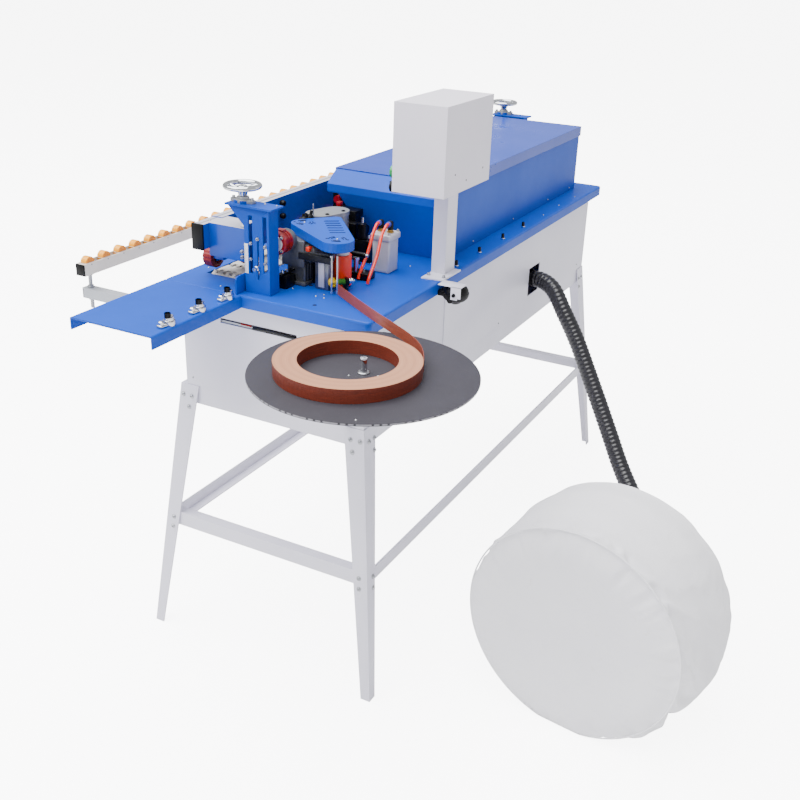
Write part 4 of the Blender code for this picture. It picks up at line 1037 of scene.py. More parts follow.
def dressTable():
    top = table["top"]
    scatter(tinyDome, "tableScrews", upward(top + 0.0002, table["screws"]), "zinc")
    plug = turned("plug", [(0, 0.0006), (0.003, 0.0006), (0.0034, 0.0016), (0.006, 0.0014), (0.0066, 0.0),
                           (0, 0.0)], 20)
    scatter(plug, "tablePlugs", upward(top + 0.0002, table["plugs"]), "brass")
    drop(plug)
    # the small holes are flat dark discs: painted shade of the openings
    hole = turned("hole", [(0, 0.0004), (0.0042, 0.0004), (0.0046, 0.0), (0, 0.0)], 18)
    scatter(hole, "tableHoles", upward(top + 0.0001, ((0.0978, 0.212), (0.1096, 0.2015), (0.0055, 0.1255))),
            "paintedHoleShade")
    drop(hole)

    # clamp: a stepped shoe, a round chrome body and a knurled black screw
    shoe = roundEdges(addBlock("shoe", (-0.024, -0.0062, 0.0), (0.005, 0.0062, 0.0052)), 0.0022, 3)
    toe = spinPiece("toe", [(0, 0.0112), (0.003, 0.0112), (0.0046, 0.0096), (0.0048, 0.0052), (0, 0.0052)],
                    (-0.0176, 0, 0), "Z", 18)
    drum = turned("drum", [(0, 0.0168), (0.0066, 0.0168), (0.0078, 0.016), (0.0082, 0.014),
                           (0.0082, 0.0092), (0.0102, 0.0086), (0.0106, 0.0066), (0.0098, 0.0), (0, 0.0)],
                  28)
    chromeClamp = joined([shoe, toe, drum], "clampBody")
    turn = Matrix.Rotation(math.radians(-8), 4, "Z")
    pieces = [copyOf(chromeClamp, "clampBody%d" % i, Matrix.Translation(at(x + 0.006, y + 0.002, top))
                     @ turn @ Matrix.Scale(1.18, 4)) for i, (x, y) in enumerate(table["clamps"])]
    dress(joined(pieces, "edgeClamps"), mats["chrome"])
    drop(chromeClamp)
    knurl = addCylinder("knurl", (0, 0, 0.0218), 0.006, 0.01, "Z", 36)

    def everyOther(c, n):
        sector = math.degrees(math.atan2(n.y, n.x)) / 10 - 0.5
        return abs(n.z) < 0.1 and int(round(sector)) % 2 == 0

    pickFaces(knurl, everyOther)
    bpy.ops.mesh.extrude_faces_move(TRANSFORM_OT_shrink_fatten={"value": 0.0004})
    bpy.ops.mesh.select_all(action="DESELECT")
    done(knurl)
    pickFaces(knurl, lambda c, n: n.z > 0.9)
    inset(0.0026)
    extrude((0, 0, -0.0042))
    done(knurl)
    pieces = [copyOf(knurl, "knurl%d" % i, Matrix.Translation(at(x, y, top)))
              for i, (x, y) in enumerate(table["clamps"])]
    dress(joined(pieces, "clampScrews"), mats["blackSteel"])
    drop(knurl)

    # adjusting screws along the near edge: black stud in a bright nut
    stud = turned("stud", [(0, 0.01), (0.0018, 0.01), (0.0022, 0.015), (0.004, 0.0148), (0.0042, 0.0),
                           (0, 0.0)], 16)
    spots = upward(top + 0.0002, table["adjusters"])
    scatter(nut, "adjusterNuts", spots, "chrome")
    scatter(stud, "adjusterStuds", spots, "blackSteel")
    drop(stud)


dressTable()


# ---- columns: bolts in the slots, scale strip, bearing and handwheel ----

column = {"bolts": ((0.278, 1.008), (0.279, 0.974), (0.242, 1.006), (0.242, 0.97), (0.2605, 1.02)),
          "clampBolt": (0.262, 0.957), "bracketBolts": ((0.3035, 0.985), (0.3035, 0.973)),
          "strip": (0.2855, 0.2945, 0.942, 1.006), "wheel": (0.018, 0.308), "spacing": 1.382,
          "rim": 0.0355, "rimThickness": 0.0055}


def makeHandwheel(name, x):
    y = column["wheel"][1]
    rim = addRing("rim", at(x, y, 1.1215), column["rim"], column["rimThickness"], "Z", 56, 14)
    spokes = []
    for i in range(3):
        a = math.radians(90 + 120 * i)
        out = Vector((math.cos(a), math.sin(a), 0))
        route = [at(x, y, 1.1165) + out * 0.006, at(x, y, 1.1155) + out * 0.016, at(x, y, 1.1175)
                 + out * 0.026, at(x, y, 1.121) + out * 0.035]
        spokes.append(tubeAlong("spoke", smoothRoute(route, 12), [0.0056 - 0.0002 * k for k in range(12)],
                                12))
    hub = spinPiece("hub", [(0, 1.1235), (0.003, 1.1235), (0.0036, 1.1215), (0.009, 1.122),
                            (0.0125, 1.1195), (0.0132, 1.115), (0.0118, 1.11), (0.0094, 1.104),
                            (0.009, 1.101), (0.0062, 1.1006)] + [(0.006 - 0.0005 * (k % 2),
            1.099 - 0.0017 * k) for k in range(72)] + [(0, 0.9755)], at(x, y, 0), "Z", 26)
    wheel = joined([rim, hub] + spokes, name + "Chrome")
    dress(wheel, mats["chrome"], name, 40)
    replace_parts(wheel, name)


def makeBearing(x, tag):
    y = column["wheel"][1]
    lobes = [addCylinder("lobe", at(x, y, 1.0895), 0.0158, 0.0086, "Z", 32),
             addCylinder("lobe", at(x, y - 0.0235, 1.0895), 0.007, 0.0086, "Z", 20),
             addCylinder("lobe", at(x, y + 0.0235, 1.0895), 0.007, 0.0086, "Z", 20)]
    plate = joined(lobes, "bearingPlate" + tag)
    only(plate)
    bpy.ops.object.mode_set(mode="EDIT")
    bpy.ops.mesh.select_all(action="SELECT")
    bpy.ops.mesh.convex_hull()
    done(plate)
    roundEdges(plate, 0.0012, 2, 30)
    boss = spinPiece("boss", [(0.007, 1.1), (0.0122, 1.1), (0.0134, 1.0985), (0.0142, 1.093),
                              (0.0142, 1.09), (0.007, 1.09), (0.007, 1.1)], at(x, y, 0), "Z", 28)
    dress(joined([plate, boss], "bearing" + tag), mats["castGrey"])
    scatter(plainCap, "bearingBolts" + tag, [(at(x, y + s * 0.0235, 1.0936), (0, 0, 1)) for s in (-1, 1)],
            "zinc")
    scatter(tinyDome, "flangeBolts" + tag, facing((0, 0, 1), (x + 0.0115, 0.2605, 1.0872),
            (x + 0.0125, 0.232, 1.0872)), "zinc")


def dressColumn(offset, tag):
    face = offset - 0.0002
    spots = [(at(face, y, z), (-1, 0, 0)) for y, z in column["bolts"]]
    scatter(cap, "columnBolts" + tag, spots, "zinc")
    y, z = column["clampBolt"]
    long = turned("long", [(0, 0.0075), (0.002, 0.0078), (0.0022, 0.0135), (0.0046, 0.0135),
                           (0.005, 0.0125), (0.005, 0.008), (0.004, 0.0078), (0.0058, 0.006),
                           (0.0062, 0.003), (0.0062, 0.0), (0, 0.0)], 20)
    scatter(long, "columnClamp" + tag, [(at(face, y, z), (-1, 0, 0))], "chrome")
    drop(long)
    scatter(plainCap, "bracketBolts" + tag, [(at(0.0042 + offset, y, z), (-1, 0, 0))
                                             for y, z in column["bracketBolts"]], "zinc")
    y0, y1, z0, z1 = column["strip"]
    strip = slab("scaleStrip" + tag, (offset - 0.0012, y0, z0), (offset - 0.0001, y1, z1), 0.0003)
    dress(strip, mats["scaleWhite"])
    ticks = []
    for i in range(25):
        wide = 0.006 if i % 5 == 0 else 0.0032
        z = z0 + 0.004 + i * (z1 - z0 - 0.008) / 24
        ticks.append(slab("tick", (offset - 0.0014, y1 - 0.0008 - wide, z - 0.00018),
                          (offset - 0.0011, y1 - 0.0008, z + 0.00018)))
    dress(joined(ticks, "scaleTicks" + tag), mats["scaleInk"])
    makeBearing(column["wheel"][0] + offset, tag)


for tag, offset, wheelName in (("Infeed", 0.0, "infeed_handwheel"), ("Outfeed", column["spacing"],
        "outfeed_handwheel")):
    dressColumn(offset, tag)
    makeHandwheel(wheelName, column["wheel"][0] + offset)


# ---- pressure beam: end plugs, knobs and two rows of ribbed rollers ----

roller = {"radius": 0.025, "width": 0.023, "lobes": 12, "height": 0.94, "rowA": 0.428, "rowB": 0.375}


def rollerShape(name):
    tyre = addCylinder(name, (0, 0, 0), roller["radius"], roller["width"], "Y", 112)
    for v in tyre.data.vertices:
        a = math.atan2(v.co.z, v.co.x)
        swell = abs(math.sin(roller["lobes"] * a / 2)) ** 0.6
        v.co.x, v.co.z = (v.co.x * (0.945 + 0.055 * swell), v.co.z * (0.945 + 0.055 * swell))
    pickFaces(tyre, lambda c, n: abs(n.y) > 0.9)
    inset(0.0022, 0.0)
    inset(0.006, 0.0014)
    inset(0.003, -0.002)
    tyre = roundEdges(done(tyre), 0.0007, 1, 50)
    # the bevel overshoots in the narrow valleys between the lobes, so those points go back down
    for v in tyre.data.vertices:
        reach = math.hypot(v.co.x, v.co.z)
        if reach > roller["radius"] * 1.004:
            k = roller["radius"] * 0.945 / reach
            v.co.x, v.co.z = v.co.x * k, v.co.z * k
    return tyre


def addRollers():
    shape = rollerShape("tyre")
    hub = spinPiece("hub", [(0, 0.0135), (0.004, 0.0135), (0.0052, 0.0128), (0.0052, 0.0118),
                            (0.0095, 0.0116), (0.0095, -0.0116), (0, -0.0116)], (0, 0, 0), "Y", 18)
    rowA = [(0.066 + 0.13 * k, roller["rowA"]) for k in range(11)]
    rowB = [(0.126 + 1.18 / 9 * k, roller["rowB"]) for k in range(10)]
    own = {1: rowA[0], 2: rowB[0], 3: rowB[-1], 4: rowA[-1]}
    for number, (x, y) in own.items():
        node = "pressure_roller_%d" % number
        tyre = copyOf(shape, "ribbedRoller%d" % number, Matrix.Translation(at(x, y, roller["height"])))
        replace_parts(dress(tyre, mats["redRubber"], node, 40), node)
    rest = [p for p in rowA + rowB if p not in own.values()]
    for i, (x, y) in enumerate(rest):
        tyre = copyOf(shape, "beamRoller%02d" % i, Matrix.Translation(at(x, y, roller["height"])))
        dress(tyre, mats["redRubber"], "pressure_beam", 40)
    hubs, axles, arms = [], [], []
    for i, (x, y) in enumerate(rowA + rowB):
        outward = 1 if y > 0.4 else -1
        flip = Matrix.Identity(4) if outward > 0 else Matrix.Rotation(math.pi, 4, "Z")
        hubs.append(copyOf(hub, "hub%d" % i, Matrix.Translation(at(x, y, roller["height"])) @ flip))
        inner = 0.4152 if outward > 0 else 0.3878
        axles.append(addCylinder("axle", at(x, (y + inner) / 2, roller["height"]), 0.0045, abs(y - inner),
                                 "Y", 14))
        arms.append(slab("arm", (x - 0.008, min(inner, inner - outward * 0.003), 0.932), (x + 0.008,
                max(inner, inner - outward * 0.003), 0.975), 0.0008, 1))
    dress(joined(hubs + axles, "rollerHubs"), mats["steelBlock"], "pressure_beam")
    dress(joined(arms, "rollerArms"), mats["blueCoat"], "pressure_beam")
    drop(shape)
    drop(hub)


def dressBeam():
    plugs = []
    for x0, x1 in ((-0.0215, -0.0155), (1.4615, 1.4675)):
        plug = slab("plug", (x0, 0.3868, 0.9785), (x1, 0.4162, 1.0355))
        plugs.append(roundEdges(plug, 0.0018, 2))
    dress(joined(plugs, "beamPlugs"), mats["blackMoulding"], "pressure_beam")
    knob = turned("knob", [(0, 0.012), (0.003, 0.0118), (0.0058, 0.0104), (0.007, 0.0078), (0.007, 0.003),
                           (0.0062, 0.0), (0, 0.0)], 24)
    spots = [(at(x, 0.3882, z), (0, -1, 0)) for x in (0.275, 1.15) for z in (1.0216, 0.9914)]
    scatter(knob, "beamKnobs", spots, "blackMoulding", "pressure_beam")
    drop(knob)
    spots = [(at(x, 0.3882, 0.985), (0, -1, 0)) for x in (0.72, 0.94)]
    scatter(dome, "beamBolts", spots, "zinc", "pressure_beam")
    spots = [(at(x, 0.398, 1.0341), (0, 0, 1)) for x in (0.02, 0.42, 0.8, 1.2, 1.43)]
    scatter(tinyDome, "beamScrews", spots, "zinc", "pressure_beam")


addRollers()
dressBeam()
print("stand, table, columns and beam dressed")


# ---- a few more finishes ----

def wheelMaterial():
    # the same nylon all through, deeper where the side faces turn away from the light
    material, tree, shader, place, texture = startMaterial("wheelOrange", 60, 900)
    geometry = tree.nodes.new("ShaderNodeNewGeometry")
    normal = linked(tree, "ShaderNodeSeparateXYZ", Vector=geometry.outputs["True Normal"])
    side = tree.nodes.new("ShaderNodeMath")
    side.operation = "ABSOLUTE"
    tree.links.new(normal.outputs["Y"], side.inputs[0])
    tread = mottled(tree, texture, "ffae00", "f8a200")
    tree.links.new(blendColour(tree, side.outputs[0], tread, srgb("e68600")), shader.inputs["Base Color"])
    tree.links.new(spread(tree, texture.outputs["Mottle"], 0.3, 0.42), shader.inputs["Roughness"])
    return material


mats["wheelOrange"] = wheelMaterial()
# greyer finish for the slot slabs on the rail top: painted shade of the openings
mats["railShade"] = finish("railShade", "b9b2aa", "aaa39b", rough=(0.5, 0.6), mottle=30)
# pale grey finish for the reel's rim: a painted highlight along the disc edge
mats["reelRimHighlight"] = finish("reelRimHighlight", "8f8d94", "7c7a82", rough=(0.4, 0.5), mottle=30)


# ---- conveyor: pads with notched edges on dark links ----

conveyor = {"start": 0.09, "end": 1.31, "centre": 0.85, "radius": 0.0515, "pads": 55, "padLength": 0.043,
            "low": 0.34, "high": 0.438}


def chainSpot(share):
    # point on the loop and the way it runs there
    run = conveyor["end"] - conveyor["start"]
    r = conveyor["radius"]
    arc = math.pi * r
    s = (share % 1.0) * (2 * run + 2 * arc)
    if s < run:
        return (conveyor["start"] + s, conveyor["centre"] + r), 0.0
    s -= run
    if s < arc:
        a = s / r
        return (conveyor["end"] + r * math.sin(a), conveyor["centre"] + r * math.cos(a)), a
    s -= arc
    if s < run:
        return (conveyor["end"] - s, conveyor["centre"] - r), math.pi
    a = (s - run) / r
    return (conveyor["start"] - r * math.sin(a), conveyor["centre"] - r * math.cos(a)), math.pi + a


def makeChain():
    half = conveyor["padLength"] / 2
    middle = (conveyor["low"] + conveyor["high"]) / 2
    wide = (conveyor["high"] - conveyor["low"]) / 2
    blocks = [roundEdges(addBlock("pad", (-half + 0.008, -wide + 0.001, -0.0092),
                                  (half - 0.008, wide - 0.001, 0.0)), 0.001, 2)]
    for side in (-1, 1):
        for i in range(6):
            y = -wide + 0.0015 + i * (2 * wide - 0.012) / 5
            x = side * (half - 0.0055)
            blocks.append(roundEdges(addBlock("tooth", (x - 0.0055, y, -0.0088),
                                              (x + 0.0055, y + 0.009, -0.0003)), 0.0008, 1))
    pad = joined(blocks, "padShape")
    links = [addBlock("link", (-0.0225, y - 0.0012, -0.019), (0.0225, y + 0.0012, -0.0094))
             for y in (-0.012, 0.012)]
    links.append(addCylinder("pin", (0, 0, -0.015), 0.004, 0.03, "Y", 12))
    links.append(addBlock("carrier", (-0.018, -0.03, -0.0094), (0.018, 0.03, -0.008)))
    link = joined(links, "linkShape")
    pads, chain = [], []
    for i in range(conveyor["pads"]):
        (x, z), a = chainSpot((i + 0.35) / conveyor["pads"])
        m = Matrix.Translation(at(x, middle, z)) @ Matrix.Rotation(a, 4, "Y")
        pads.append(copyOf(pad, "pad%d" % i, m))
        chain.append(copyOf(link, "link%d" % i, m))
    piece = dress(joined(pads, "conveyorPads"), mats["padRubber"])
    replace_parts(piece, "feed_chain")
    dress(joined(chain, "conveyorLinks"), mats["blackSteel"])
    drop(pad)
    drop(link)
    # a tail wheel for the far end, and the track that the upper run slides on
    tail = addCylinder("tail", at(conveyor["end"], middle, conveyor["centre"]), 0.03, 0.02, "Y", 40)
    shaft = addCylinder("shaft", at(conveyor["end"], 0.392, conveyor["centre"]), 0.008, 0.148, "Y", 20)
    dress(joined([tail, shaft], "tailWheel"), mats["zinc"])
    track = slab("chainTrack", (0.13, middle - 0.009, 0.868), (1.27, middle + 0.009, 0.8815), 0.001)
    dress(track, mats["steelBlock"])


makeChain()


# ---- glue unit: belt guard trim, motor, gearbox, rollers, tape guide ----

guard = {"big": ((0.165, 0.252), (0.092, 0.124)), "top": 1.02,
         "slits": (((0.1968, 0.222), (0.2155, 0.195)), ((0.1256, 0.1632), (0.1445, 0.1356)))}


def dressGuard():
    top = guard["top"]
    # the guard's arc slots, holes and slits are thin dark pieces laid on its top: painted shade inside the
    # openings
    arcs, holes = [], []
    for n, (cx, cy) in enumerate(guard["big"]):
        for r in (0.0125, 0.0185):
            for k in range(3):
                start = math.radians(20 + 120 * k + 30 * n)
                route = [at(cx + r * math.cos(start + 0.16 * j), cy + r * math.sin(start + 0.16 * j), top
                            + 0.0001) for j in range(8)]
                arcs.append(tubeAlong("arc", route, [0.0011] * 8, 8))
        for k in range(2):
            a = math.radians(110 + 180 * k)
            holes.append((at(cx + 0.0225 * math.cos(a), cy + 0.0225 * math.sin(a), top + 0.0001),
                          (0, 0, 1)))
    dress(joined(arcs, "guardArcs"), mats["paintedHoleShade"])
    dot = turned("dot", [(0, 0.0005), (0.0024, 0.0005), (0.0027, 0.0), (0, 0.0)], 16)
    scatter(dot, "guardHoles", holes, "paintedHoleShade")
    drop(dot)
    scatter(tinyDome, "guardBolts", upward(top + 0.0002, guard["big"]), "zinc")
    slits = []
    (left, right), (lastLeft, lastRight) = guard["slits"]
    for k in range(6):
        u = k / 5
        z = top + 0.0002
        a = at(left[0] + (lastLeft[0] - left[0]) * u, left[1] + (lastLeft[1] - left[1]) * u, z)
        b = at(right[0] + (lastRight[0] - right[0]) * u, right[1] + (lastRight[1] - right[1]) * u, z)
        slits.append(tubeAlong("slit", smoothRoute([a, a.lerp(b, 0.5), b], 6), [0.0009] * 6, 8))
    dress(joined(slits, "guardSlits"), mats["paintedHoleShade"])


glueUnit = {"motor": (0.2465, 1.002), "pressRoller": (0.144, 0.143),
            "rods": ((0.083, 0.132), (0.089, 0.122))}


def dressGlueUnit():
    motorY, motorZ = glueUnit["motor"]
    rollerSpot = at(*glueUnit["pressRoller"], 0)
    # motor: cooling ribs round the can, a pale ring and a shaft end on its face
    fins = [addCylinder("can", at(0.064, motorY, motorZ), 0.0235, 0.024, "X", 48)]
    for k in range(6):
        x = 0.055 + 0.004 * k
        fins.append(addCylinder("fin", at(x, motorY, motorZ), 0.025 - (0.001 if k % 2 else 0), 0.0022, "X",
                                48))
    end = spinPiece("end", [(0.0165, -0.0012), (0.0232, -0.0012), (0.025, 0.001), (0.025, 0.01),
                            (0.0165, 0.01), (0.0165, -0.0012)], at(0.0455, motorY, motorZ), "X", 48)
    box = slab("lug", (0.058, motorY - 0.009, motorZ + 0.018), (0.073, motorY + 0.009, motorZ + 0.027),
               0.0016)
    motor = dress(joined(fins + [end, box], "motorRibs"), mats["redMotor"])
    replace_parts(motor, "glue_motor")
    ring = spinPiece("ring", [(0.0085, -0.002), (0.0165, -0.0024), (0.0172, -0.001), (0.0172, 0.006),
                              (0.0085, 0.006), (0.0085, -0.002)], at(0.044, motorY, motorZ), "X", 40)
    dress(ring, mats["paleCast"])
    core = spinPiece("core", [(0, -0.0006), (0.003, -0.001), (0.0078, 0.0006), (0.0078, 0.006), (0, 0.006)],
                     at(0.044, motorY, motorZ), "X", 28)
    dress(core, mats["blackSteel"])
    scatter(cap, "motorBolts", [(at(0.0448, motorY + 0.0205 * math.cos(a), motorZ + 0.0205 * math.sin(a)),
                                 (-1, 0, 0)) for a in (0.8, 2.37, 3.94, 5.51)], "zinc")
    # gearbox: flange, round cap, ribs and bolts
    flange = slab("flange", (0.0935, 0.2085, 0.942), (0.1, 0.2655, 1.0000), 0.002)
    belly = spinPiece("belly", [(0, -0.03), (0.017, -0.03), (0.0215, -0.026), (0.0225, -0.012),
                                (0.024, -0.01), (0.024, 0.01), (0.0225, 0.012), (0.0215, 0.022),
                                (0, 0.024)], at(0.122, 0.214, 0.972), "Y", 36)
    bell = spinPiece("bell", [(0, 0.0764), (0.0225, 0.0764), (0.0238, 0.0776), (0.0238, 0.088),
                              (0.0205, 0.095), (0, 0.0954)], at(0, motorY, motorZ), "X", 40)
    foot = slab("foot", (0.094, 0.206, 0.9005), (0.15, 0.266, 0.9085), 0.0015)
    ribs = [slab("rib", (0.098 + 0.0115 * k, 0.208, 0.909), (0.101 + 0.0115 * k, 0.2145, 0.948), 0.0008)
            for k in range(4)]
    dress(joined([flange, belly, bell, foot] + ribs, "gearCase"), mats["gearGrey"])
    scatter(cap, "gearBolts", [(at(0.122 + 0.0185 * math.cos(a), 0.1838, 0.972 + 0.0185 * math.sin(a)),
                                (0, -1, 0)) for a in (0.5, 1.75, 3.0, 4.26, 5.52)], "zinc")
    # swinging arm from the gearbox to the tape block, with its screws
    arm = slab("arm", (0.0915, 0.136, 0.969), (0.1035, 0.22, 0.9757), 0.0022)
    lip = slab("lip", (0.0895, 0.135, 0.962), (0.0918, 0.22, 0.9762), 0.0008)
    dress(joined([arm, lip], "swingArm"), mats["darkCast"])
    spots = [(at(0.097, y, 0.9756), (0, 0, 1)) for y in (0.213, 0.142)]
    scatter(plainCap, "armBolts", spots, "chrome")
    block = slab("tapeBlock", (0.0975, 0.149, 0.9008), (0.1195, 0.183, 0.9655), 0.0016)
    dress(block, mats["steelBlock"])
    face = slab("tapeFace", (0.0946, 0.158, 0.906), (0.0974, 0.173, 0.962), 0.001)
    dress(face, mats["paleCast"])
    # two bright rods beside the press roller
    rods = [spinPiece("rod", [(0, 0.0), (0.0019, 0.0), (0.0019, 0.083), (0.0015, 0.0845), (0, 0.0848)],
                      at(x, y, 0.9005), "Z", 16) for x, y in glueUnit["rods"]]
    heads = [addCylinder("head", at(x, y, 0.905), 0.0036, 0.006, "Z", 16) for x, y in glueUnit["rods"]]
    dress(joined(rods + heads, "guideRods"), mats["chrome"])
    # tape roller: orange sleeve with a pale collar and a dark spindle
    sleeve = spinPiece("sleeve", [(0.012, 0.9037), (0.02, 0.9037), (0.0207, 0.9046), (0.0207, 0.9706),
                                  (0.02, 0.9716), (0.012, 0.9716), (0.012, 0.9037)], rollerSpot,
                       "Z", 44)
    dress(sleeve, mats["orangeRoller"], "press_roller")
    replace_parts(sleeve, "press_roller")
    collar = spinPiece("collar", [(0.004, 0.9034), (0.0119, 0.9034), (0.0119, 0.9717), (0.0158, 0.9718),
                                  (0.016, 0.977), (0.014, 0.9848), (0.004, 0.9848), (0.004, 0.9034)],
                       rollerSpot, "Z", 36)
    dress(collar, mats["paleCast"], "press_roller")
    spindle = spinPiece("spindle", [(0, seat), (0.011, seat), (0.011, 0.9032), (0.0038, 0.9034),
                                    (0.0038, 0.999), (0, 0.999)], rollerSpot, "Z", 24)
    dress(spindle, mats["blackSteel"])


def dressTapeKnob():
    # yellow star knob, green spring sleeve and bright nuts on one slanting screw
    way = Vector((0.75, -0.661, 0))
    start = at(0.0974, 0.1361, 0.922)
    turn = Matrix.Translation(start) @ aimed(way)
    star = turned("star", [(0, -0.011), (0.0052, -0.0106), (0.0066, -0.009), (0.007, 0.003),
                           (0.0052, 0.005), (0.0052, 0.009), (0, 0.009)], 30)
    arms = []
    for k in range(5):
        a = 2 * math.pi * k / 5 + 0.3
        petal = addCylinder("petal", (0.0075 * math.cos(a), 0.0075 * math.sin(a), -0.003), 0.0032, 0.0105,
                            "Z", 18)
        arms.append(roundEdges(petal, 0.0012, 2, 40))
    knob = joined([star] + arms, "starKnob")
    knob.data.transform(turn)
    dress(knob, mats["yellowMoulding"], "tape_guide_knob", 40)
    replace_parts(knob, "tape_guide_knob")
    spring = turned("spring", [(0, 0.009)] + [(0.0068 - 0.0012 * (k % 2), 0.0092 + 0.001 * k)
                                              for k in range(17)] + [(0, 0.0254)], 22)
    spring.data.transform(turn)
    dress(spring, mats["greenSpring"])
    block = roundEdges(addBlock("block", (-0.008, -0.007, 0.0256), (0.008, 0.007, 0.034)), 0.001)
    block.data.transform(turn)
    dress(block, mats["blackSteel"])
    nuts = [copyOf(nut, "n%d" % k, Matrix.Translation((0, 0, z))) for k, z in enumerate((0.0342, 0.0392))]
    nuts.append(addCylinder("tip", (0, 0, 0.04), 0.0028, 0.014, "Z", 14))
    nuts = joined(nuts, "knobNuts")
    nuts.data.transform(turn)
    dress(nuts, mats["chrome"])
    post = roundEdges(addBlock("post", (-0.005, -0.005, -0.004), (0.005, 0.005, 0.016)), 0.0008)
    post.data.transform(Matrix.Translation(at(0.118, 0.118, 0.9045)))
    dress(post, mats["blackSteel"])


def dressGluePot():
    # lid: cast plate with two dark screws; knob cluster and a straight post at its side
    spots = facing((0, 0, 1), (0.248, 0.245, 1.0212), (0.295, 0.231, 1.0212))
    scatter(socketBolt("lidSocket", 0.004, 0.002), "lidBolts", spots, "blackSteel", "pot_lid")
    drop(bpy.data.objects["lidSocket"])
    knobs = []
    for dx, dy, dz in ((0, 0, 0), (0.013, -0.006, 0.004), (0.006, 0.01, -0.004)):
        knob = turned("k", [(0, -0.01), (0.0062, -0.0096), (0.0082, -0.007), (0.0086, 0.004),
                            (0.007, 0.0078), (0.0034, 0.009), (0.0034, 0.018), (0, 0.018)], 22)
        pointed(knob, (0.1945 + dx, 0.272 + dy, 1.014 + dz), (0.35, -0.1, 1))
        knobs.append(knob)
    dress(joined(knobs, "potKnobs"), mats["blackMoulding"])
    post = spinPiece("post", [(0, seat), (0.009, seat), (0.009, 0.906), (0.005, 0.907), (0.005, 1.006),
                              (0, 1.006)], at(0.1975, 0.274, 0), "Z", 20)
    dress(post, mats["zinc"])
    ribs = []
    for k in range(6):
        ribs.append(addCylinder("rib", at(0.25, 0.267, 0.928 + 0.0125 * k), 0.0312, 0.0035, "Z", 48))
    band = slab("band", (0.223, 0.242, 0.9006), (0.32, 0.288, 0.908), 0.0015)
    dress(joined(ribs + [band], "potRibs"), mats["castGrey"])
    scatter(cap, "potBolts", upward(0.9082, ((0.229, 0.247), (0.314, 0.247), (0.229, 0.283))), "zinc")


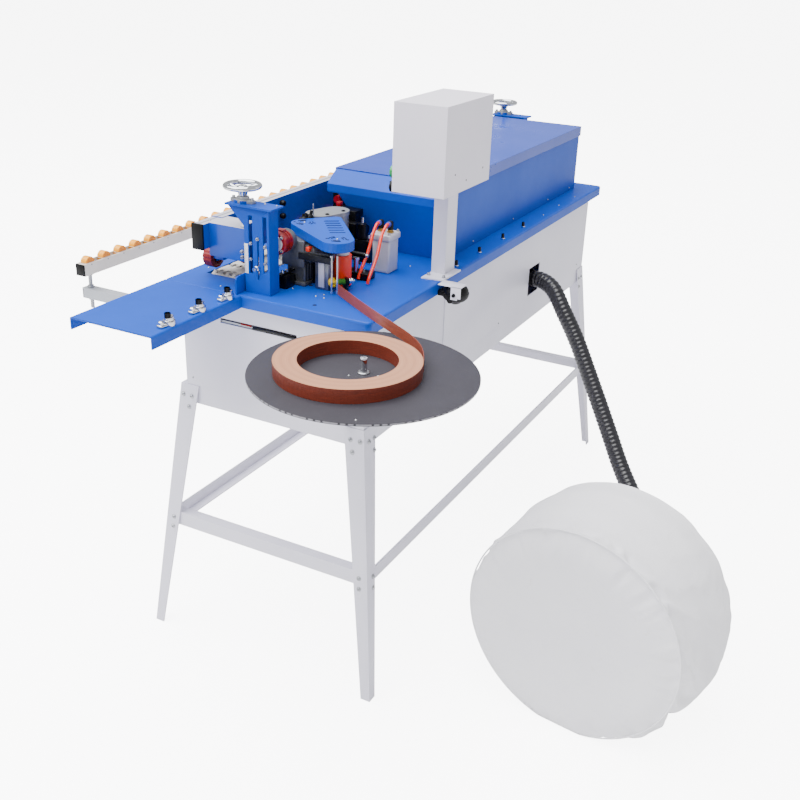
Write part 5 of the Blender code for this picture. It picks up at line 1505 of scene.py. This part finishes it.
def dressClutter():
    # adjusting block and lever in front of the motor, then the dark work behind the tape roller
    base = slab("base", (0.056, 0.229, seat), (0.086, 0.252, 0.93), 0.0012)
    step = slab("step", (0.086, 0.233, seat), (0.1, 0.252, 0.921), 0.0012)
    plate = slab("plate", (0.048, 0.236, 0.93), (0.112, 0.248, 0.934), 0.0008)
    tower = slab("tower", (0.124, 0.188, seat), (0.148, 0.205, 0.964), 0.0014)
    rear = slab("rear", (0.172, 0.16, seat), (0.196, 0.22, 0.98), 0.0014)
    cross = slab("cross", (0.148, 0.176, 0.95), (0.23, 0.19, 0.964), 0.0014)
    bar = addCylinder("bar", at(0.225, 0.165, 0.95), 0.006, 0.07, "Y", 18)
    rail = slab("rail", (0.199, 0.11, seat), (0.233, 0.205, 0.916), 0.0012)
    dress(joined([base, step, plate, tower, rear, cross, bar, rail], "unitFrames"), mats["blackSteel"])
    lever = turned("lever", [(0, 0.0), (0.0026, 0.0), (0.0022, 0.034), (0.0034, 0.035), (0.0034, 0.04),
                             (0, 0.0405)], 14)
    pointed(lever, (0.0835, 0.235, 0.901), (-0.28, 0.12, 1))
    dress(lever, mats["zinc"])
    screws = [(at(0.062, 0.242, 0.9342), (0, 0, 1)), (at(0.106, 0.242, 0.9342), (0, 0, 1)),
              (at(0.136, 0.196, 0.9642), (0, 0, 1)), (at(0.184, 0.17, 0.9802), (0, 0, 1)),
              (at(0.184, 0.21, 0.9802), (0, 0, 1)), (at(0.215, 0.13, 0.9162), (0, 0, 1)),
              (at(0.215, 0.19, 0.9162), (0, 0, 1)), (at(0.225, 0.1295, 0.95), (0, -1, 0)),
              (at(0.186, 0.1598, 0.962), (0, -1, 0)), (at(0.186, 0.1598, 0.935), (0, -1, 0)),
              (at(0.136, 0.1878, 0.945), (0, -1, 0)), (at(0.136, 0.1878, 0.92), (0, -1, 0))]
    scatter(plainCap, "unitScrews", screws, "chrome")
    # end cutter between the pot and the hood: dark plates, a solenoid and its bright rod
    cutter = [slab("plate", (0.348, 0.23, seat), (0.386, 0.296, 1.008), 0.0016),
              slab("plate", (0.318, 0.176, seat), (0.344, 0.216, 0.952), 0.0014),
              slab("plate", (0.324, 0.216, 0.92), (0.348, 0.26, 0.986), 0.0014),
              addCylinder("solenoid", at(0.33, 0.2, 0.972), 0.0105, 0.034, "Z", 24),
              addCylinder("head", at(0.362, 0.218, 0.966), 0.012, 0.024, "Y", 24),
              # the plates and the can at the hood opening are black partly as real dark parts and partly as
              # painted shade for the shadow inside the hood
              slab("plate", (0.444, 0.24, 0.925), (0.472, 0.35, 1.025), 0.0018),
              addCylinder("can", at(0.51, 0.315, 0.99), 0.028, 0.07, "X", 32),
              slab("plate", (0.472, 0.26, 0.915), (0.54, 0.345, 0.945), 0.0018)]
    dress(joined(cutter, "endCutter"), mats["blackSteel"])
    reds = [addCylinder("cap", at(0.44, 0.332, 1.005), 0.01, 0.012, "X", 20),
            addCylinder("cap", at(0.44, 0.303, 1.012), 0.011, 0.012, "X", 20),
            slab("cap", (0.37, 0.284, 1.008), (0.384, 0.296, 1.018), 0.0012)]
    dress(joined(reds, "cutterCaps"), mats["redMotor"])
    rods = [addCylinder("rod", at(0.33, 0.2, 0.996), 0.0035, 0.016, "Z", 14),
            addCylinder("rod", at(0.356, 0.214, 0.938), 0.004, 0.03, "Y", 14),
            addCylinder("rod", at(0.34, 0.19, 0.958), 0.006, 0.008, "Z", 18),
            slab("foot", (0.306, 0.164, seat), (0.34, 0.172, 0.906), 0.0008)]
    dress(joined(rods, "cutterRods"), mats["chrome"])
    leads = []
    for k, (a, b, c) in enumerate((((0.2, 0.23, 0.905), (0.212, 0.205, 0.945), (0.238, 0.18, 0.955)),
                                   ((0.17, 0.232, 0.904), (0.19, 0.196, 0.93), (0.208, 0.16, 0.925)),
                                   ((0.24, 0.22, 0.904), (0.248, 0.19, 0.94), (0.262, 0.165, 0.915)))):
        route = smoothRoute([at(*a), at(*b), at(*c)], 20)
        leads.append(tubeAlong("lead", route, [0.0026] * 20, 10))
    dress(joined(leads, "unitLeads"), mats["cableBlack"])
    coil = []
    for k in range(4):
        coil.append(addRing("coil", at(0.235, 0.2, 0.926 + 0.0055 * k), 0.0115, 0.0024, "Z", 28, 10))
    dress(joined(coil, "leadCoil"), mats["cableBlack"])
    bits = [addCylinder("bit", at(0.207, 0.145, 0.93), 0.0055, 0.028, "Z", 18),
            addCylinder("bit", at(0.207, 0.145, 0.946), 0.008, 0.006, "Z", 18)]
    dress(joined(bits, "adjustPost"), mats["chrome"])
    stripe = slab("stripe", (0.094, 0.195, 0.98), (0.142, 0.204, 0.989), 0.001)
    dress(stripe, mats["orangeRoller"])


airPorts = {"x": 0.294, "rows": (0.107, 0.131)}


def dressAirCylinder():
    body = slab("airBody", (0.2715, 0.0975, 0.9003), (0.3165, 0.1405, 0.9745), 0.003, 3)
    pickFaces(body, lambda c, n: abs(n.z) < 0.1 and abs(n.x * n.y) < 0.01)
    inset(0.006, -0.0006)
    done(body)
    head = slab("head", (0.2675, 0.0935, 0.9745), (0.3205, 0.1445, 0.9905), 0.004, 3)
    piece = dress(joined([body, head], "airCylinderBody"), mats["paleCast"])
    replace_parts(piece, "air_cylinder")
    ports, elbows, rings = [], [], []
    for y in airPorts["rows"]:
        ports.append(spinPiece("port", [(0, 0.9904), (0.0082, 0.9904), (0.0082, 0.994), (0.006, 0.9946),
                                        (0.006, 0.998), (0, 0.998)], at(airPorts["x"], y, 0), "Z", 6))
        stem = spinPiece("stem", [(0, 0.9978), (0.0066, 0.9978), (0.0068, 1.006), (0.0066, 1.014),
                                  (0.0045, 1.017), (0, 1.0175)], at(airPorts["x"], y, 0), "Z", 20)
        way = Vector((-0.5, -0.02, 0.1))
        nose = turned("nose", [(0, -0.002), (0.0062, -0.002), (0.0062, 0.008), (0, 0.008)], 20)
        pointed(nose, (0.293, y, 1.0095), way)
        elbows += [stem, nose]
        ring = turned("ring", [(0.003, 0.0078), (0.006, 0.0078), (0.0062, 0.011), (0.005, 0.0122),
                               (0.003, 0.0122), (0.003, 0.0078)], 22)
        pointed(ring, (0.293, y, 1.0095), way)
        rings.append(ring)
    dress(joined(ports, "airPorts"), mats["brass"])
    dress(joined(elbows, "airElbows"), mats["blackMoulding"])
    dress(joined(rings, "airRings"), mats["blueRing"])
    scatter(cap, "airBolts", upward(0.9906, ((0.2735, 0.099), (0.315, 0.099), (0.2735, 0.139),
                                             (0.315, 0.139))), "zinc")
    # air tubes leave the elbows, arch over and run down to the table
    low = (((0.196, 0.132, 0.9035), 0.131, "air_hose_a"), ((0.178, 0.098, 0.9035), 0.107, "air_hose_b"))
    for end, y, node in low:
        route = [at(0.285, y, 1.011), at(0.278, y, 1.0118), at(0.27, y - 0.0005, 1.0085),
                 at(0.256 - 0.004 * (y < 0.12), y - 0.001, 0.993),
                 at((0.262 + end[0]) / 2 + 0.004, (y + end[1]) / 2 - 0.001, 0.954),
                 at(end[0] + 0.006, end[1], 0.915), at(*end)]
        path = smoothRoute(route, 44)
        tube = dress(tubeAlong("airTube" + node[-1].upper(), path, [0.0036] * 44, 14), mats["airTube"])
        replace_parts(tube, node)


dressGuard()
dressGlueUnit()
dressTapeKnob()
dressGluePot()
dressClutter()
dressAirCylinder()
print("conveyor and glue unit dressed")


# ---- trimming units under the hood, hood hinges and screws ----

trims = {"places": ((0.62, 0.245), (0.76, 0.235), (0.93, 0.24), (1.11, 0.24))}
hoodHinges = (0.52, 0.9, 1.26)


def dressTrims():
    ribs, collars, reds, plates = [], [], [], []
    for i, (x, y) in enumerate(trims["places"]):
        for k in range(9):
            ribs.append(addCylinder("rib", at(x, y, 0.948 + 0.0105 * k), 0.0362, 0.003, "Z", 36))
        collars.append(spinPiece("collar", [(0, 0.9355), (0.02, 0.9355), (0.024, 0.939), (0.024, 0.944),
                                            (0, 0.9445)], at(x, y, 0), "Z", 32))
        collars.append(addCylinder("cutter", at(x, y + 0.03, 0.928), 0.015, 0.01, "Z", 24))
        reds.append(spinPiece("cap", [(0, 1.05), (0.024, 1.05), (0.03, 1.047), (0.0345, 1.044),
                                      (0.0345, 1.04), (0, 1.04)], at(x, y, 0), "Z", 32))
        plates.append(slab("plate", (x - 0.045, y - 0.085, 0.9352), (x + 0.045, y - 0.07, 1.000), 0.001))
        plates.append(slab("plate", (x - 0.04, y - 0.07, 0.9352), (x + 0.04, y - 0.036, 0.945), 0.001))
    # the end trimmer just inside the front opening
    plates.append(slab("plate", (0.455, 0.12, seat), (0.51, 0.23, 0.924), 0.0015))
    plates.append(slab("plate", (0.47, 0.15, 0.924), (0.486, 0.22, 1.005), 0.0015))
    ribs.append(addCylinder("can", at(0.478, 0.244, 0.98), 0.018, 0.05, "X", 32))
    reds.append(addCylinder("cap", at(0.452, 0.244, 0.98), 0.0185, 0.01, "X", 32))
    reds.append(slab("cap", (0.45, 0.19, 1.006), (0.476, 0.23, 1.02), 0.002))
    dress(joined(ribs, "trimRibs"), mats["darkCast"])
    dress(joined(collars, "trimCollars"), mats["zinc"])
    dress(joined(reds, "trimCaps"), mats["redMotor"])
    dress(joined(plates, "trimPlates"), mats["blackSteel"])
    spots = [(at(x + s * 0.03, y - 0.0775, 1.0002), (0, 0, 1)) for x, y in trims["places"] for s in (-1, 1)]
    spots += [(at(0.454, 0.244 + s * 0.012, 0.98 + 0.012 * s), (-1, 0, 0)) for s in (-1, 1)]
    spots += [(at(0.4698, y, z), (-1, 0, 0)) for y, z in ((0.16, 0.985), (0.21, 0.985), (0.185, 0.94))]
    scatter(plainCap, "trimScrews", spots, "chrome")


def dressHood():
    spots = [(at(1.3482, y, z), (1, 0, 0)) for y in (0.0445, 0.32) for z in (1.027, 0.935)]
    scatter(dome, "hoodEndScrews", spots, "zinc")
    scatter(tinyDome, "hoodLidScrews", [(at(1.3502, y, 1.0715), (1, 0, 0)) for y in (0.06, 0.3)], "zinc",
            "hood_lid")
    knuckles = []
    for x in hoodHinges:
        for k in range(3):
            knuckles.append(addCylinder("knuckle", at(x - 0.022 + 0.022 * k, 0.3352, 1.056), 0.0036, 0.0205,
                                        "X", 18))
        knuckles.append(slab("leaf", (x - 0.033, 0.3336, 1.03), (x + 0.033, 0.3352, 1.056), 0.0006, 1))
    dress(joined(knuckles, "hoodHinges"), mats["zinc"])
    spots = [(at(x + s * 0.022, 0.3354, 1.04), (0, 1, 0)) for x in hoodHinges for s in (-1, 1)]
    scatter(tinyDome, "hingeScrews", spots, "zinc")
    feet = [(at(x, 0.0368, 0.909), (0, -1, 0)) for x in (0.6, 0.86, 1.12, 1.3)]
    scatter(tinyDome, "hoodFootScrews", feet, "zinc")


dressTrims()
dressHood()
print("trimmers and hood dressed")


# ---- electrical box, column, buttons, air regulator ----

box = {"holes": ((0.2452, 1.1518), (0.302, 1.1309), (0.3868, 1.1429)), "hinges": (1.15, 1.255),
       "collar": (0.222, 0.0542, 1.146), "button": (0.222, 0.0585, 1.146), "knob": (0.224, 0.0635, 1.114)}


def dressBox():
    # the holes in the box side are flat dark discs: painted shade of the openings
    hole = turned("hole", [(0, 0.0003), (0.0016, 0.0003), (0.0022, 0.0), (0, 0.0)], 16)
    scatter(hole, "boxHoles", [(at(x, -0.068, z), (0, -1, 0)) for x, z in box["holes"]], "paintedHoleShade")
    drop(hole)
    # door on the working side: plate, hinges, lock and the collar of the push button
    door = slab("boxDoor", (0.236, 0.0538, 1.12), (0.415, 0.056, 1.286), 0.001)
    dress(door, mats["boxCoat"])
    hinges = [addCylinder("hinge", at(0.4185, 0.056, z), 0.003, 0.02, "Z", 16) for z in box["hinges"]]
    dress(joined(hinges, "boxHinges"), mats["zinc"])
    lock = turned("lock", [(0, 0.002), (0.0022, 0.002), (0.0024, 0.0036), (0.007, 0.0034), (0.008, 0.0),
                           (0, 0.0)], 24)
    scatter(lock, "boxLock", [(at(0.244, 0.0561, 1.2), (0, 1, 0))], "zinc")
    drop(lock)
    collars = [turned("collar", [(0.0135, -0.0002), (0.0165, -0.0002), (0.0165, 0.003), (0.015, 0.0042),
                                 (0.0135, 0.0042), (0.0135, -0.0002)], 32)]
    pointed(collars[0], box["collar"], (0, 1, 0))
    dress(joined(collars, "buttonCollar"), mats["zinc"])
    button = turned("pushButton", [(0, 0.0002), (0.0128, 0.0002), (0.013, 0.009), (0.0122, 0.0102),
                                   (0.009, 0.0108), (0.006, 0.01), (0, 0.0096)], 36)
    pointed(button, box["button"], (0, 1, 0))
    dress(button, mats["greenMoulding"], "green_button")
    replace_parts(button, "green_button")
    knob = turned("turnKnob", [(0, -0.0095), (0.011, -0.0095), (0.0125, -0.008), (0.012, 0.006),
                               (0.0104, 0.0075), (0, 0.0078)], 30)
    grip = roundEdges(addBlock("grip", (-0.0025, -0.0105, 0.007), (0.0025, 0.0105, 0.0105)), 0.0008)
    handle = joined([knob, grip], "turnKnob")
    pointed(handle, box["knob"], (0, 1, 0))
    dress(handle, mats["blackMoulding"], "control_knob")
    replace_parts(handle, "control_knob")
    # column foot bolts and a cable up its open side
    spots = upward(0.9038, ((0.31, 0.015), (0.39, 0.015), (0.31, -0.023)))
    scatter(plainCap, "columnFootBolts", spots, "zinc")
    route = smoothRoute([at(0.366, 0.003, 0.905), at(0.364, 0.004, 0.96), at(0.366, 0.001, 1.03),
                         at(0.365, 0.003, 1.108)], 30)
    dress(tubeAlong("columnLead", route, [0.0046] * 30, 12), mats["cableBlack"])
    gland = spinPiece("gland", [(0.0044, 1.096), (0.008, 1.0965), (0.0088, 1.099), (0.0088, 1.1085),
                                (0.0044, 1.109), (0.0044, 1.096)], at(0.365, 0.003, 0), "Z", 22)
    dress(gland, mats["blackMoulding"])


def dressRegulator():
    x, y = 0.298, -0.06
    knob = spinPiece("regulatorKnob", [(0, 0.8985), (0.012, 0.898), (0.02, 0.8955), (0.0255, 0.891),
                                       (0.0286, 0.885), (0.0288, 0.8806), (0.0302, 0.88), (0.0302, 0.876),
                                       (0.0296, 0.873), (0.027, 0.867), (0.0215, 0.862), (0.015, 0.859),
                                       (0.012, 0.856), (0.009, 0.854), (0, 0.8535)], at(x, y, 0), "Z", 44)
    nose = addCylinder("nose", at(x, y, 0.869), 0.007, 0.062, "X", 20)
    arm = slab("arm", (0.2765, -0.048, 0.8722), (0.3195, -0.0256, 0.8838), 0.001)
    dress(joined([knob, nose, arm], "regulatorBody"), mats["blackMoulding"])
    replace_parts(bpy.data.objects["regulatorBody"], "air_regulator")
    # white strap from the column's foot, out over the cap and down its near side, with a hooked end
    strap = slab("strap", (0.2655, -0.086, 0.9003), (0.3, -0.03, 0.9022), 0.0006)
    front = slab("front", (0.2655, -0.086, 0.876), (0.2675, -0.062, 0.9022), 0.0006)
    hook = slab("hook", (0.2655, -0.078, 0.872), (0.2675, -0.062, 0.877), 0.0006)
    dress(joined([strap, front, hook], "regulatorBracket"), mats["whiteCoat"])
    scatter(plainCap, "regulatorBolts", [(at(0.2655, -0.07, 0.883), (-1, 0, 0))], "blackSteel")
    fit = turned("fit", [(0, 0.0), (0.0052, 0.0), (0.0054, 0.006), (0.004, 0.007), (0.004, 0.01),
                         (0, 0.01)], 6)
    scatter(fit, "regulatorPorts", [(at(x + 0.031, y, 0.869), (1, 0, 0))], "brass")
    drop(fit)


dressBox()
dressRegulator()


# ---- tape reel ----

reel = {"centre": (-0.223, -0.123), "rim": 0.2105}


def dressReel():
    cx, cy = reel["centre"]
    # pale rim round the disc edge, coloured as a painted highlight
    rim = spinPiece("reelRim", [(reel["rim"] - 0.0006, 0.88345), (reel["rim"], 0.8832),
                                (reel["rim"] + 0.0005, 0.8839), (reel["rim"] + 0.0005, 0.8866),
                                (reel["rim"], 0.88735), (reel["rim"] - 0.0006, 0.8871),
                                (reel["rim"] - 0.0006, 0.88345)], at(cx, cy, 0), "Z", 120)
    dress(rim, mats["reelRimHighlight"], "reel_disc")
    pin = spinPiece("pin", [(0, 0.8795), (0.0062, 0.8795), (0.0062, 0.912), (0.0057, 0.916),
                            (0.004, 0.9185), (0, 0.9192)], at(cx, cy, 0), "Z", 26)
    dress(pin, mats["chrome"])
    collar = spinPiece("collar", [(0.0064, 0.8876), (0.011, 0.8876), (0.0112, 0.8895), (0.0098, 0.8905),
                                  (0.0064, 0.8905), (0.0064, 0.8876)], at(cx, cy, 0), "Z", 26)
    dress(collar, mats["zinc"], "reel_disc")
    spots = [(at(cx + r * math.cos(a), cy + r * math.sin(a), 0.8876), (0, 0, 1))
             for r, a in ((0.03, 0.5), (0.03, 2.6), (0.03, 4.7), (0.06, 3.9), (0.197, 3.6))]
    scatter(tinyDome, "reelScrews", spots, "zinc", "reel_disc")
    hub = spinPiece("hub", [(0.0064, 0.83), (0.015, 0.83), (0.017, 0.832), (0.017, 0.84), (0.0064, 0.8405),
                            (0.0064, 0.83)], at(cx, cy, 0), "Z", 26)
    stub = spinPiece("stub", [(0, 0.824), (0.005, 0.824), (0.005, 0.83), (0, 0.83)], at(cx, cy, 0), "Z", 16)
    dress(joined([hub, stub], "reelHub"), mats["blueRing"])
    scatter(dome, "reelArmBolts", [(at(-0.0062, y, z), (-1, 0, 0)) for y,
                                   z in ((0.02, 0.851), (0.068, 0.851))], "zinc")


dressReel()


# ---- roller rail: end plugs, wheels through the slots, axle dots, threaded rods ----

rail = {"low": 0.742, "high": 0.768, "top": 0.883, "wheels": 26, "pitch": 0.0545, "first": 0.013,
        "radius": 0.0135, "width": 0.019, "arms": (0.017, 1.38)}


def makeWheel(name, x, node):
    wheel = spinPiece(name, [(0, -0.008), (0.005, -0.008), (0.0056, -0.0086), (0.0098, -0.0086),
                             (0.0112, -0.0095), (0.0126, -0.0094), (0.0135, -0.0084), (0.0135, 0.0084),
                             (0.0126, 0.0094), (0.0112, 0.0095), (0.0098, 0.0086), (0.0056, 0.0086),
                             (0.005, 0.008), (0, 0.008)], at(x, 0.755, 0.8835), "Y", 36)
    dress(wheel, mats["wheelOrange"], node)
    return wheel


def dressRail():
    slots, dots = [], []
    for k in range(rail["wheels"]):
        x = rail["first"] + rail["pitch"] * k
        tag = "rail_wheel_%02d" % (k + 1)
        if k % 4 == 0:
            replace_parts(makeWheel("railRoller%02d" % (k + 1), x, tag), tag)
        else:
            makeWheel("railRoller%02d" % (k + 1), x, "roller_rail")
        # each slot is a thin greyer slab on the rail top: painted shade of the opening the wheel runs in
        slots.append(slab("slot", (x - 0.0155, 0.744, rail["top"] - 0.0004), (x + 0.0155, 0.766, rail["top"]
                + 0.0004)))
        dots += [(at(x, rail["low"] - 0.0001, 0.879), (0, -1, 0)),
                 (at(x, rail["high"] + 0.0001, 0.879), (0, 1, 0))]
    dress(joined(slots, "railSlots"), mats["railShade"], "roller_rail")
    dot = turned("dot", [(0, 0.0006), (0.0012, 0.0006), (0.0016, 0.0), (0, 0.0)], 12)
    scatter(dot, "axleDots", dots, "steelBlock", "roller_rail")
    drop(dot)
    plugs = []
    for x0, x1 in ((-0.0135, -0.0096), (1.4296, 1.4335)):
        plugs.append(slab("plug", (x0, 0.7422, 0.8552), (x1, 0.7678, 0.8828), 0.001))
    dress(joined(plugs, "railPlugs"), mats["blackMoulding"], "roller_rail")
    rods = []
    for x in rail["arms"]:
        rods.append(spinPiece("rod", [(0, 0.77)] + [(0.0042 + 0.0005 * (k % 2), 0.7702 + 0.0014 * k)
                                                    for k in range(62)] + [(0, 0.857)], at(x, 0.755, 0),
                              "Z", 16))
        for z in (0.8205, 0.7902, 0.85):
            rods.append(copyOf(nut, "rodNut", Matrix.Translation(at(x, 0.755, z)) @ Matrix.Scale(1.25, 4)))
    dress(joined(rods, "railRods"), mats["zinc"], "roller_rail")
    plugs = [slab("plug", (x - 0.0128, 0.7685, 0.7948), (x + 0.0128, 0.7712, 0.8202), 0.001)
             for x in rail["arms"]]
    dress(joined(plugs, "armPlugs"), mats["blackMoulding"], "roller_rail")


dressRail()
for shape in (dome, tinyDome, cap, plainCap, nut):
    drop(shape)
print("box, reel and rail dressed")
